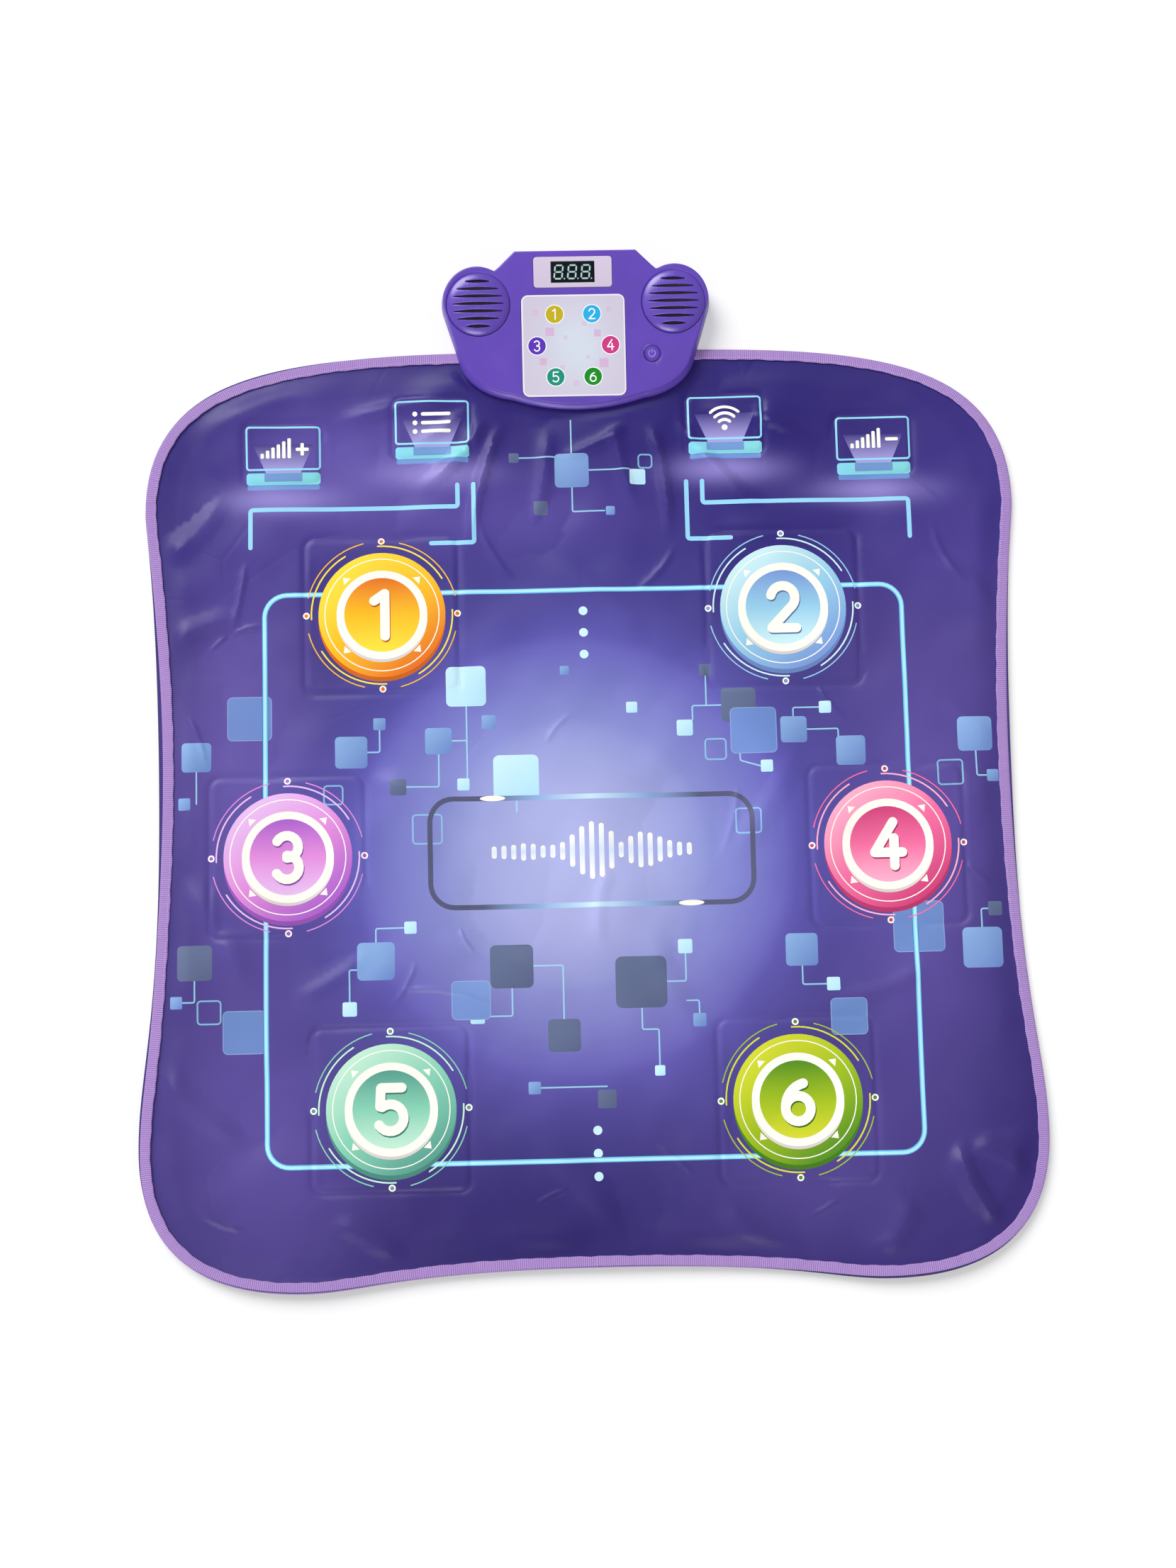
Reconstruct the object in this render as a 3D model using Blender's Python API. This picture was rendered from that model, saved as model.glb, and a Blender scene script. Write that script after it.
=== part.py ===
"""Electronic dance mat: a layered foot mat with ten pressure pads, a sewn tape edge and a wedge-shaped
moulded console with two speakers, a number display, an indicator panel, a power button and a battery bay.

Metres, +Z up. The origin is the middle of the mat's underside, +Y runs towards the console and +X to the
right. The mat is a stack of layers: base sheet, circuit film, foam core with windows, printed top sheet. The
tape binds the upper layers and is sewn to the base sheet. Each pad sits in a window on a perforated foam
spacer and sinks when it is stepped on.
"""
import math

import bmesh
import bpy
from mathutils import Matrix, Vector

MM = 0.001
GAP = 0.3 * MM              # clearance between pieces that touch

# Mat outline, right half. Curves run between points where the edge is square to X or to Y.
MAT_TOP_Y = 463.0 * MM
MAT_BOTTOM_Y = -465.5 * MM
BOTTOM_ARCH = 17.7 * MM     # how far the middle of the bottom edge is drawn in
UPPER_HALF_WIDTH = 435.5 * MM
UPPER_WIDE_Y = 300.0 * MM
WAIST_HALF_WIDTH = 421.7 * MM
LOWER_HALF_WIDTH = 440.3 * MM
LOWER_WIDE_Y = -325.0 * MM
FOOT_X = 280.0 * MM         # where the bottom corners touch the lowest line
TOP_CORNER_HANDLES = (240.0 * MM, 175.0 * MM)
UPPER_SIDE_HANDLES = (22.0 * MM, 208.0 * MM)
LOWER_SIDE_HANDLES = (210.0 * MM, 75.0 * MM)
BOTTOM_CORNER_HANDLES = (118.0 * MM, 75.0 * MM)
BOTTOM_HANDLES = (55.0 * MM, 195.0 * MM)

# Mat layers, from the floor up. The rim is where the sewing squeezes them together.
BASE_THICKNESS = 0.6 * MM
FILM_THICKNESS = 0.3 * MM
CORE_THICKNESS = 3.7 * MM
TOP_THICKNESS = 0.6 * MM
RIM_CORE_THICKNESS = 0.9 * MM
BASE_EDGE = 0.4 * MM        # how far the base sheet's edge lies in from the fold of the tape
TAPE_WIDTH = 11.0 * MM
TAPE_THICKNESS = 0.45 * MM
TAPE_CORNER = 0.8 * MM
RIM_WIDTH = TAPE_WIDTH + 3.0 * MM
RIM_SLOPE_WIDTH = 22.0 * MM  # how far in from the rim the mat reaches its full thickness
FILM_INSET = 18.0 * MM

# Pads
PAD_WIDTH = 150.0 * MM
PAD_LENGTH = 156.0 * MM
PAD_CORNER = 10.0 * MM
PAD_THICKNESS = 2.2 * MM
PAD_CLEARANCE = 0.4 * MM
PAD_TRAVEL = 1.5 * MM
KEY_WIDTH = 76.0 * MM
KEY_LENGTH = 60.0 * MM
KEY_CORNER = 8.0 * MM
UPPER_PAD_MARGIN = 235.5 * MM   # from the mat's widest half there to the pad's centre
MIDDLE_PAD_MARGIN = 126.7 * MM
LOWER_PAD_MARGIN = 243.3 * MM
OUTER_KEY_MARGIN = 138.5 * MM
UPPER_PADS = (UPPER_HALF_WIDTH - UPPER_PAD_MARGIN, 194.0 * MM)
MIDDLE_PADS = (WAIST_HALF_WIDTH - MIDDLE_PAD_MARGIN, -46.0 * MM)
LOWER_PADS = (LOWER_HALF_WIDTH - LOWER_PAD_MARGIN, -293.0 * MM)
OUTER_KEYS = (UPPER_HALF_WIDTH - OUTER_KEY_MARGIN, 360.0 * MM)
INNER_KEYS = (147.5 * MM, 384.0 * MM)
SPACER_INSET = 3.0 * MM
SPACER_THICKNESS = 2.1 * MM
SPACER_HOLE_RADIUS = 14.0 * MM
SPACER_HOLE_PITCH = 46.0 * MM
KEY_HOLE_RADIUS = 11.0 * MM
KEY_HOLE_PITCH = 34.0 * MM

# Console plan. Its own Y starts at the middle of the front lip.
CONSOLE_OVERLAP = 62.6 * MM   # how far the console reaches over the mat
CONSOLE_LENGTH = 159.7 * MM
FRONT_RADIUS = 205.0 * MM
FRONT_ARC_X = 66.0 * MM
CORNER_HANDLE_FRONT = (22.0 * MM, 2.7 * MM)
CORNER_HANDLE_SIDE = (5.4 * MM, 26.0 * MM)
SIDE_FOOT = (119.4 * MM, 52.0 * MM)
EAR_CENTRE = (99.5 * MM, 109.3 * MM)
EAR_RADIUS = 36.0 * MM
TOP_HALF_WIDTH = 61.9 * MM
SHOULDER_ANGLE = math.radians(44.0)

# Console heights and walls
DECK_FRONT_Z = 14.0 * MM
DECK_SLOPE = math.radians(7.5)
DECK_THICKNESS = 2.3 * MM
DECK_EDGE_INSET = 3.6 * MM
DECK_EDGE_ROUND = 1.2 * MM
WALL = 2.2 * MM
PARTING_Z = 9.6 * MM
FRONT_FLOOR = 1.8 * MM
REAR_FLOOR = 3.2 * MM
LOWER_DRAFT = 1.2 * MM
STEP_CLEARANCE = 0.6 * MM

# Features on the deck, measured along its slope from the front lip
RECESS_DEPTH = 1.2 * MM
PANEL_SIZE = (104.4 * MM, 102.5 * MM)
PANEL_CENTRE = (-3.0 * MM, 63.0 * MM)
PANEL_CORNER = 7.0 * MM
PANEL_THICKNESS = 1.3 * MM
INDICATOR_ROW_X = 18.8 * MM
INDICATOR_ROW_Y = 31.5 * MM
INDICATOR_SIDE_X = 37.0 * MM
INDICATOR_WINDOW_RADIUS = 4.0 * MM
INDICATOR_LAMP_RADIUS = 2.2 * MM
BEZEL_SIZE = (79.0 * MM, 31.0 * MM)
BEZEL_CENTRE = (-2.6 * MM, 137.0 * MM)
BEZEL_CORNER = 3.2 * MM
BEZEL_THICKNESS = 1.4 * MM
DISPLAY_SIZE = (43.4 * MM, 21.0 * MM)
DISPLAY_HEIGHT = 8.4 * MM
DISPLAY_BOARD_SIZE = (60.0 * MM, 26.0 * MM)
DISPLAY_BOARD_THICKNESS = 1.2 * MM
BUTTON_CENTRE = (75.6 * MM, 53.7 * MM)
BUTTON_RADIUS = 8.2 * MM
BUTTON_FLANGE = 1.4 * MM
BUTTON_FLANGE_THICKNESS = 0.8 * MM
BUTTON_TRAVEL = 0.7 * MM
BUTTON_PROUD = 0.6 * MM
BUTTON_GROOVE = 0.5 * MM      # depth of the ring groove round its face
GRILLE_CENTRE = (98.2 * MM, 105.8 * MM)
GRILLE_RADIUS = 31.6 * MM
GRILLE_SEAT = 3.2 * MM
GRILLE_SEAT_DEPTH = 0.8 * MM
GRILLE_WALL = 1.8 * MM
GRILLE_SHOULDER = 4.0 * MM
GRILLE_CROWN = 1.6 * MM
SLOT_FIELD_RADIUS = 27.2 * MM
SLOT_PITCH = 7.9 * MM
SLOT_ROWS = 7
SLOT_END_HEIGHT = 0.9 * MM
SLOT_MID_HEIGHT = 2.6 * MM
SLOT_CUT = (-2.0 * MM, 9.0 * MM)

# Speakers, measured down from the deck
SPEAKER_RADIUS = 27.6 * MM
SPEAKER_FLANGE = 1.2 * MM
SPEAKER_DEPTH = 10.4 * MM
BASKET_RADIUS = 23.6 * MM
BASKET_WALL = 1.0 * MM
BASKET_HOLE_RADIUS = 9.0 * MM
MAGNET_RADIUS = 14.0 * MM
MAGNET_HEIGHT = 6.0 * MM
CONE_NECK_RADIUS = 6.0 * MM
CONE_RIM = (1.1 * MM, 0.6 * MM)  # how far the cone's rim lies in from the basket and below its top
CONE_THICKNESS = 0.6 * MM
CONE_LIFT = 3.0 * MM
DUST_CAP_HEIGHT = 2.4 * MM

# Main board, in the slope of the deck
BOARD_TOP = -5.2 * MM
BOARD_THICKNESS = 1.6 * MM
BOARD_HALF_WIDTH = 50.0 * MM
BOARD_FRONT = 24.0 * MM
BOARD_REAR = 100.0 * MM
BOARD_WING_HALF = 9.0 * MM
BOARD_POST_INSET = 5.0 * MM
POST_RADIUS = 2.4 * MM
MAIN_CHIP = (16.0 * MM, 16.0 * MM)
MAIN_CHIP_CENTRE = (-8.0 * MM, 60.0 * MM)
SOUND_CHIP = (8.0 * MM, 14.0 * MM)
SOUND_CHIP_CENTRE = (18.0 * MM, 64.0 * MM)
CHIP_HEIGHT = 1.4 * MM
CHIP_CORNER = 0.5 * MM
SWITCH_DOME_RADIUS = 3.0 * MM

# Battery bay: four AA cells side by side
CELL_RADIUS = 7.1 * MM
CELL_LENGTH = 50.5 * MM
CELL_COUNT = 4
CELL_SPACING = 0.6 * MM
CELL_EDGE = 0.5 * MM
CELL_NUB_RADIUS = 2.7 * MM
CELL_NUB_LENGTH = 1.2 * MM
CONTACT_ROOM = 3.2 * MM
CONTACT_THICKNESS = 0.4 * MM
CONTACT_HALF_HEIGHT = 5.0 * MM
SPRING_RADII = (3.6 * MM, 2.2 * MM)
BAY_REAR_MARGIN = 12.4 * MM
BAY_WALL = 1.2 * MM
DOOR_THICKNESS = 1.6 * MM
DOOR_LEDGE = 2.6 * MM
DOOR_SCREW_TAB = 10.2 * MM
TONGUE_WIDTH = 8.0 * MM
TONGUE_REACH = 2.2 * MM
TONGUE_THICKNESS = 0.8 * MM
TONGUE_OFFSET = 14.0 * MM

# Screws
SCREW_RADIUS = 1.3 * MM
SCREW_HEAD_RADIUS = 2.7 * MM
SCREW_HEAD_HEIGHT = 1.3 * MM
BOSS_RADIUS = 4.0 * MM
SCREW_CLEARANCE = 0.35 * MM
REAR_SCREWS = (50.0 * MM, 145.0 * MM)
FRONT_SCREWS = (88.0 * MM, 32.0 * MM)
CASE_SCREW_DEPTH = 8.0 * MM
CLAMP_SCREW_X = 44.0 * MM
CLAMP_Y = 14.6 * MM
CLAMP_PLATE_SIZE = (112.0 * MM, 20.0 * MM)
CLAMP_PLATE_CORNER = 3.0 * MM
CLAMP_BOSS_HEIGHT = 3.2 * MM

# Flat cable from the circuit film to the main board
CABLE_WIDTH = 16.0 * MM
CABLE_THICKNESS = 0.3 * MM
CABLE_Y = 37.0 * MM
CABLE_FOOT = 8.0 * MM
CABLE_SLOT_MARGIN = 1.2 * MM
CONNECTOR_HEIGHT = 1.5 * MM
CONNECTOR_MARGIN = 2.0 * MM
CONNECTOR_LENGTH = 6.0 * MM

# Facets
CURVE_STEPS = 8
ROUND_STEPS = 32
SMALL_STEPS = 16
SCREW_STEPS = 10
CIRCLE_START = 0.07

# How far a cutting tool runs past the surface that it opens
PAST = 1.0 * MM
FAR_PAST = 5.0 * MM
BESIDE = 200.0 * MM

# Levels that follow from the sizes above
BASE_TOP = BASE_THICKNESS
FILM_BOTTOM = BASE_TOP + GAP
FILM_TOP = FILM_BOTTOM + FILM_THICKNESS
CORE_BOTTOM = FILM_TOP + GAP
CORE_TOP = CORE_BOTTOM + CORE_THICKNESS
TOP_BOTTOM = CORE_TOP + GAP
MAT_THICKNESS = TOP_BOTTOM + TOP_THICKNESS
TAPE_BOTTOM = BASE_TOP + GAP
RIM_CORE_BOTTOM = TAPE_BOTTOM + TAPE_THICKNESS + GAP
RIM_CORE_TOP = RIM_CORE_BOTTOM + RIM_CORE_THICKNESS
RIM_TOP_BOTTOM = RIM_CORE_TOP + GAP
RIM_TOP = RIM_TOP_BOTTOM + TOP_THICKNESS
TAPE_TOP = RIM_TOP + GAP + TAPE_THICKNESS
RIM_EDGE = TAPE_THICKNESS + GAP
FULL_INSET = RIM_WIDTH + RIM_SLOPE_WIDTH
SPACER_BOTTOM = FILM_TOP + GAP
PAD_BOTTOM = MAT_THICKNESS - PAD_THICKNESS

CONSOLE_Y = MAT_TOP_Y - CONSOLE_OVERLAP
CONSOLE_REAR_Y = CONSOLE_Y + CONSOLE_LENGTH
FRONT_FLOOR_Z = MAT_THICKNESS + GAP
STEP_Y = MAT_TOP_Y + STEP_CLEARANCE

CELL_PITCH = 2 * CELL_RADIUS + CELL_SPACING
BAY_HALF_WIDTH = CELL_PITCH * CELL_COUNT / 2 + GAP
BAY_LENGTH = CELL_LENGTH + 2 * CONTACT_ROOM
BAY_REAR_Y = CONSOLE_REAR_Y - BAY_REAR_MARGIN
BAY_FRONT_Y = BAY_REAR_Y - BAY_LENGTH
BAY_CENTRE_Y = (BAY_REAR_Y + BAY_FRONT_Y) / 2
DOOR_TOP = GAP + DOOR_THICKNESS
DOOR_RECESS = DOOR_TOP + GAP
CELL_Z = DOOR_TOP + GAP + CELL_RADIUS
BAY_CEILING = CELL_Z + CELL_RADIUS + GAP
DOOR_LEFT = -BAY_HALF_WIDTH - DOOR_LEDGE
DOOR_RIGHT = BAY_HALF_WIDTH + DOOR_SCREW_TAB
DOOR_SCREW_X = DOOR_RIGHT - BOSS_RADIUS - GAP
DOOR_BOSS_TOP = REAR_FLOOR + 5 * MM
CLAMP_BOSS_TOP = FRONT_FLOOR_Z + FRONT_FLOOR + CLAMP_BOSS_HEIGHT


def linear(value):
    """One sRGB channel from 0 to 255 as a linear value."""
    value /= 255
    return value / 12.92 if value <= 0.04045 else ((value + 0.055) / 1.055) ** 2.4


def finish(name, colour, roughness, metallic=0.0):
    """A plain surface of one sRGB colour."""
    material = bpy.data.materials.new(name)
    material.use_nodes = True
    shader = material.node_tree.nodes["Principled BSDF"]
    shader.inputs["Base Color"].default_value = [linear(c) for c in colour] + [1.0]
    shader.inputs["Roughness"].default_value = roughness
    shader.inputs["Metallic"].default_value = metallic
    return material


def bezier(start, handle_a, handle_b, end, steps):
    """Points of a cubic curve, its end left out."""
    points = []
    for i in range(steps):
        t = i / steps
        s = 1 - t
        weights = (s ** 3, 3 * s * s * t, 3 * s * t * t, t ** 3)
        corners = (start, handle_a, handle_b, end)
        points.append(tuple(sum(w * p[k] for w, p in zip(weights, corners)) for k in (0, 1)))
    return points


def arc(centre, radius, first, last, steps):
    """Points on a circle from one angle to another, the last left out."""
    angles = [first + (last - first) * i / steps for i in range(steps)]
    return [(centre[0] + radius * math.cos(a), centre[1] + radius * math.sin(a)) for a in angles]


def circle(radius, steps, centre=(0.0, 0.0)):
    """A circle whose first point lies a little off the X axis, clear of the straight edges beside it."""
    return arc(centre, radius, CIRCLE_START, CIRCLE_START + 2 * math.pi, steps)


def rounded_rectangle(size, radius, centre=(0.0, 0.0), steps=3):
    points = []
    for quarter, (sx, sy) in enumerate(((1, 1), (-1, 1), (-1, -1), (1, -1))):
        middle = (centre[0] + sx * (size[0] / 2 - radius), centre[1] + sy * (size[1] / 2 - radius))
        for i in range(steps + 1):
            angle = math.pi / 2 * (quarter + i / steps)
            points.append((middle[0] + radius * math.cos(angle), middle[1] + radius * math.sin(angle)))
    return points


def rectangle(x0, x1, y0, y1):
    return [(x0, y0), (x1, y0), (x1, y1), (x0, y1)]


def both_halves(right):
    """A whole outline from its right half, which runs from the middle of the bottom to that of the top."""
    return right + [(-x, y) for x, y in reversed(right[1:-1])]


def inset(points, distance):
    """The outline moved inwards by a distance, each corner along its mitre."""
    moved = []
    for i, point in enumerate(points):
        here = Vector(point)
        before = (here - Vector(points[i - 1])).normalized()
        after = (Vector(points[(i + 1) % len(points)]) - here).normalized()
        a = Vector((-before.y, before.x))
        b = Vector((-after.y, after.x))
        moved.append(tuple(here + (a + b) * (distance / (1 + a.dot(b)))))
    return moved


def mat_outline():
    upper = (UPPER_HALF_WIDTH, UPPER_WIDE_Y)
    waist = (WAIST_HALF_WIDTH, 0.0)
    lower = (LOWER_HALF_WIDTH, LOWER_WIDE_Y)
    foot = (FOOT_X, MAT_BOTTOM_Y)
    middle = (0.0, MAT_BOTTOM_Y + BOTTOM_ARCH)
    top = (0.0, MAT_TOP_Y)
    right = bezier(middle, (BOTTOM_HANDLES[1], middle[1]), (foot[0] - BOTTOM_HANDLES[0], foot[1]), foot, 6)
    right += bezier(foot, (foot[0] + BOTTOM_CORNER_HANDLES[1], foot[1]),
                    (lower[0], lower[1] - BOTTOM_CORNER_HANDLES[0]), lower, CURVE_STEPS)
    right += bezier(lower, (lower[0], lower[1] + LOWER_SIDE_HANDLES[1]),
                    (waist[0], waist[1] - LOWER_SIDE_HANDLES[0]), waist, 5)
    right += bezier(waist, (waist[0], waist[1] + UPPER_SIDE_HANDLES[1]),
                    (upper[0], upper[1] - UPPER_SIDE_HANDLES[0]), upper, 4)
    right += bezier(upper, (upper[0], upper[1] + TOP_CORNER_HANDLES[1]),
                    (top[0] + TOP_CORNER_HANDLES[0], top[1]), top, CURVE_STEPS + 2)
    right.append(top)
    return both_halves(right)


def console_outline():
    """The console's largest outline: front arc, corner, straight side, ear, shoulder and flat rear."""
    centre = (0.0, CONSOLE_Y + FRONT_RADIUS)
    sweep = math.asin(FRONT_ARC_X / FRONT_RADIUS)
    right = arc(centre, FRONT_RADIUS, -math.pi / 2, sweep - math.pi / 2, 4)
    lip = (FRONT_ARC_X, centre[1] - FRONT_RADIUS * math.cos(sweep))
    foot = (SIDE_FOOT[0], CONSOLE_Y + SIDE_FOOT[1])
    right += bezier(lip, (lip[0] + CORNER_HANDLE_FRONT[0], lip[1] + CORNER_HANDLE_FRONT[1]),
                    (foot[0] - CORNER_HANDLE_SIDE[0], foot[1] - CORNER_HANDLE_SIDE[1]), foot, 6)
    ear = Vector((EAR_CENTRE[0], CONSOLE_Y + EAR_CENTRE[1]))
    away = ear - Vector(foot)
    reach = math.sqrt(away.length_squared - EAR_RADIUS ** 2)
    heading = math.atan2(away.y, away.x) - math.asin(EAR_RADIUS / away.length)
    touch = Vector(foot) + reach * Vector((math.cos(heading), math.sin(heading)))
    right.append(foot)
    first = math.atan2(touch.y - ear.y, touch.x - ear.x)
    corner = Vector((TOP_HALF_WIDTH, CONSOLE_REAR_Y))
    down = Vector((math.cos(SHOULDER_ANGLE), -math.sin(SHOULDER_ANGLE)))
    to_ear = ear - corner
    along = to_ear.dot(down)
    across = to_ear.length_squared - along ** 2
    meet = corner + down * (along - math.sqrt(EAR_RADIUS ** 2 - across))
    last = math.atan2(meet.y - ear.y, meet.x - ear.x)
    right += arc(ear, EAR_RADIUS, first, last, 12)
    right += [tuple(meet), tuple(corner), (0.0, CONSOLE_REAR_Y)]
    return both_halves(right)


def deck_z(y):
    return DECK_FRONT_Z + (y - CONSOLE_Y) * math.tan(DECK_SLOPE)


def on_deck(lift):
    """A height that follows the slope of the deck."""
    return lambda y: deck_z(y) + lift


def make(name, mesh, material, parent=None):
    """One object from a bmesh, faces outwards, round faces smooth."""
    bmesh.ops.recalc_face_normals(mesh, faces=mesh.faces)
    data = bpy.data.meshes.new(name)
    mesh.to_mesh(data)
    mesh.free()
    data.shade_smooth()
    data.set_sharp_from_angle(angle=math.radians(35))
    obj = bpy.data.objects.new(name, data)
    bpy.context.scene.collection.objects.link(obj)
    if material is None:
        obj.hide_render = True
        obj.display_type = "WIRE"
    else:
        data.materials.append(material)
    obj.parent = parent
    return obj


def add_rings(mesh, rings, ends="caps"):
    """Skins rings of equal length: capped at both ends, or joined into a closed loop."""
    rows = [[mesh.verts.new(p) for p in ring] for ring in rings]
    if ends == "loop":
        rows.append(rows[0])
    count = len(rows[0])
    for lower, upper in zip(rows, rows[1:]):
        for i in range(count):
            j = (i + 1) % count
            mesh.faces.new((lower[i], lower[j], upper[j], upper[i]))
    if ends == "caps":
        mesh.faces.new(list(reversed(rows[0])))
        mesh.faces.new(rows[-1])


def loft(name, outline, profile, material, ends="caps"):
    """Skins an outline at a list of (inset, height). A height may be a function of Y."""
    rings = []
    for distance, height in profile:
        ring = inset(outline, distance) if distance else outline
        rings.append([(x, y, height(y) if callable(height) else height) for x, y in ring])
    mesh = bmesh.new()
    add_rings(mesh, rings, ends)
    return make(name, mesh, material)


def add_prism(mesh, outline, bottom, top):
    add_rings(mesh, [[(x, y, z) for x, y in outline] for z in (bottom, top)])


def prisms(name, outlines, bottom, top, material=None, parent=None):
    """Upright prisms on one or more outlines."""
    mesh = bmesh.new()
    for outline in outlines:
        add_prism(mesh, outline, bottom, top)
    return make(name, mesh, material, parent)


def add_turned(mesh, profile, steps, centre=(0.0, 0.0), closed=False):
    """Turns (radius, height) points round an upright axis: from axis to axis, or as a closed section."""
    rows = []
    for radius, height in profile:
        if radius == 0:
            rows.append([mesh.verts.new((*centre, height))] * steps)
        else:
            rows.append([mesh.verts.new((x, y, height)) for x, y in circle(radius, steps, centre)])
    if closed:
        rows.append(rows[0])
    for a, b in zip(rows, rows[1:]):
        for i in range(steps):
            j = (i + 1) % steps
            corners = dict.fromkeys((a[i], a[j], b[j], b[i]))
            if len(corners) > 2:
                mesh.faces.new(list(corners))


def turned(name, profile, steps, material=None, parent=None, place=(0.0, 0.0, 0.0), closed=False):
    mesh = bmesh.new()
    add_turned(mesh, profile, steps, closed=closed)
    obj = make(name, mesh, material, parent)
    obj.location = place
    return obj


def cylinder(radius, bottom, top):
    return [(0.0, bottom), (radius, bottom), (radius, top), (0.0, top)]


def bored(bottom, seat, top):
    """The hole for a screw: wide for the head up to its seat, then narrow."""
    wide, narrow = SCREW_HEAD_RADIUS + SCREW_CLEARANCE, SCREW_RADIUS + SCREW_CLEARANCE
    return [(0.0, bottom), (wide, bottom), (wide, seat), (narrow, seat), (narrow, top), (0.0, top)]


def beyond(points, y):
    """The part of an outline that lies behind a line across it."""
    kept = []
    for i, (bx, by) in enumerate(points):
        ax, ay = points[i - 1]
        if (ay < y) != (by < y):
            kept.append((ax + (bx - ax) * (y - ay) / (by - ay), y))
        if by >= y:
            kept.append((bx, by))
    return kept


def combine(target, tool, operation):
    modifier = target.modifiers.new(operation.lower(), "BOOLEAN")
    modifier.operation = operation
    modifier.solver = "EXACT"
    modifier.object = tool


def cut(target, tool):
    combine(target, tool, "DIFFERENCE")


def add(target, tool):
    combine(target, tool, "UNION")


def pads():
    """Each pad's name, size, corner and centre, from left to right and top to bottom."""
    step = (PAD_WIDTH, PAD_LENGTH)
    key = (KEY_WIDTH, KEY_LENGTH)
    found = []
    for row, (x, y) in enumerate((UPPER_PADS, MIDDLE_PADS, LOWER_PADS)):
        for column, side in enumerate((-1, 1)):
            found.append((f"step_{2 * row + column + 1}", step, PAD_CORNER, (side * x, y)))
    for name, (x, y), side in (("volume_up", OUTER_KEYS, -1), ("mode", INNER_KEYS, -1),
                               ("wireless", INNER_KEYS, 1), ("volume_down", OUTER_KEYS, 1)):
        found.append((name, key, KEY_CORNER, (side * x, y)))
    return found


def window(size, corner, centre):
    grown = (size[0] + 2 * PAD_CLEARANCE, size[1] + 2 * PAD_CLEARANCE)
    return rounded_rectangle(grown, corner + PAD_CLEARANCE, centre)


def clamp_screw_places():
    return [(x, CONSOLE_Y + CLAMP_Y) for x in (-CLAMP_SCREW_X, 0.0, CLAMP_SCREW_X)]


def cable_slot():
    half = CABLE_WIDTH / 2 + CABLE_SLOT_MARGIN
    y = CONSOLE_Y + CABLE_Y
    front = y - CABLE_FOOT - CABLE_SLOT_MARGIN
    rear = y + CABLE_THICKNESS + CABLE_SLOT_MARGIN
    return rectangle(-half, half, front, rear)


def build_mat_layers():
    outline = mat_outline()
    grey = finish("anti_slip_grey", (112, 107, 110), 0.85)
    loft("base_sheet", outline, [(BASE_EDGE, 0.0), (BASE_EDGE, BASE_TOP)], grey)

    film = finish("circuit_film", (206, 210, 214), 0.3)
    loft("circuit_film", outline, [(FILM_INSET, FILM_BOTTOM), (FILM_INSET, FILM_TOP)], film)

    mid = (RIM_WIDTH + FULL_INSET) / 2
    drop = (CORE_TOP - RIM_CORE_TOP) * 0.3
    foam = finish("foam_white", (226, 226, 222), 0.9)
    core = loft("foam_core", outline, [
        (RIM_EDGE, RIM_CORE_BOTTOM), (RIM_EDGE, RIM_CORE_TOP), (RIM_WIDTH, RIM_CORE_TOP + GAP),
        (mid, CORE_TOP - drop), (FULL_INSET, CORE_TOP)], foam)

    print_side = finish("printed_sheet", (76, 67, 150), 0.45)
    top = loft("top_sheet", outline, [
        (FULL_INSET, TOP_BOTTOM), (mid, TOP_BOTTOM - drop), (RIM_WIDTH, RIM_TOP_BOTTOM + GAP),
        (RIM_EDGE, RIM_TOP_BOTTOM), (RIM_EDGE, RIM_TOP), (TAPE_WIDTH + GAP, RIM_TOP),
        (mid, MAT_THICKNESS - drop), (FULL_INSET, MAT_THICKNESS)], print_side)

    windows = [window(size, corner, centre) for _, size, corner, centre in pads()]
    above = MAT_THICKNESS + PAST
    pad_windows = prisms("pad_windows", windows, -PAST, above)
    slot = prisms("cable_slot_cutter", [cable_slot()], CORE_BOTTOM - GAP / 2, above)
    plate = (CLAMP_PLATE_SIZE[0] + 2 * GAP, CLAMP_PLATE_SIZE[1] + 2 * GAP)
    opening = rounded_rectangle(plate, CLAMP_PLATE_CORNER, (0.0, CONSOLE_Y + CLAMP_Y))
    plate_window = prisms("clamp_window", [opening], -PAST, MAT_THICKNESS)
    holes = prisms("clamp_screw_holes",
                   [circle(SCREW_RADIUS + 2 * GAP, SMALL_STEPS // 2, p) for p in clamp_screw_places()],
                   CORE_TOP, above)
    for layer, tools in ((core, (pad_windows, slot, plate_window)), (top, (pad_windows, slot, holes))):
        for tool in tools:
            cut(layer, tool)

    tape = finish("binding_tape", (182, 146, 222), 0.8)
    t = TAPE_THICKNESS
    loft("edge_binding", outline, [
        (TAPE_WIDTH, TAPE_BOTTOM), (TAPE_CORNER, TAPE_BOTTOM), (0.0, TAPE_BOTTOM + TAPE_CORNER),
        (0.0, TAPE_TOP - TAPE_CORNER), (TAPE_CORNER, TAPE_TOP), (TAPE_WIDTH, TAPE_TOP),
        (TAPE_WIDTH, TAPE_TOP - t), (t, TAPE_TOP - t), (t, TAPE_BOTTOM + t),
        (TAPE_WIDTH, TAPE_BOTTOM + t)], tape, ends="loop")


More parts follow.
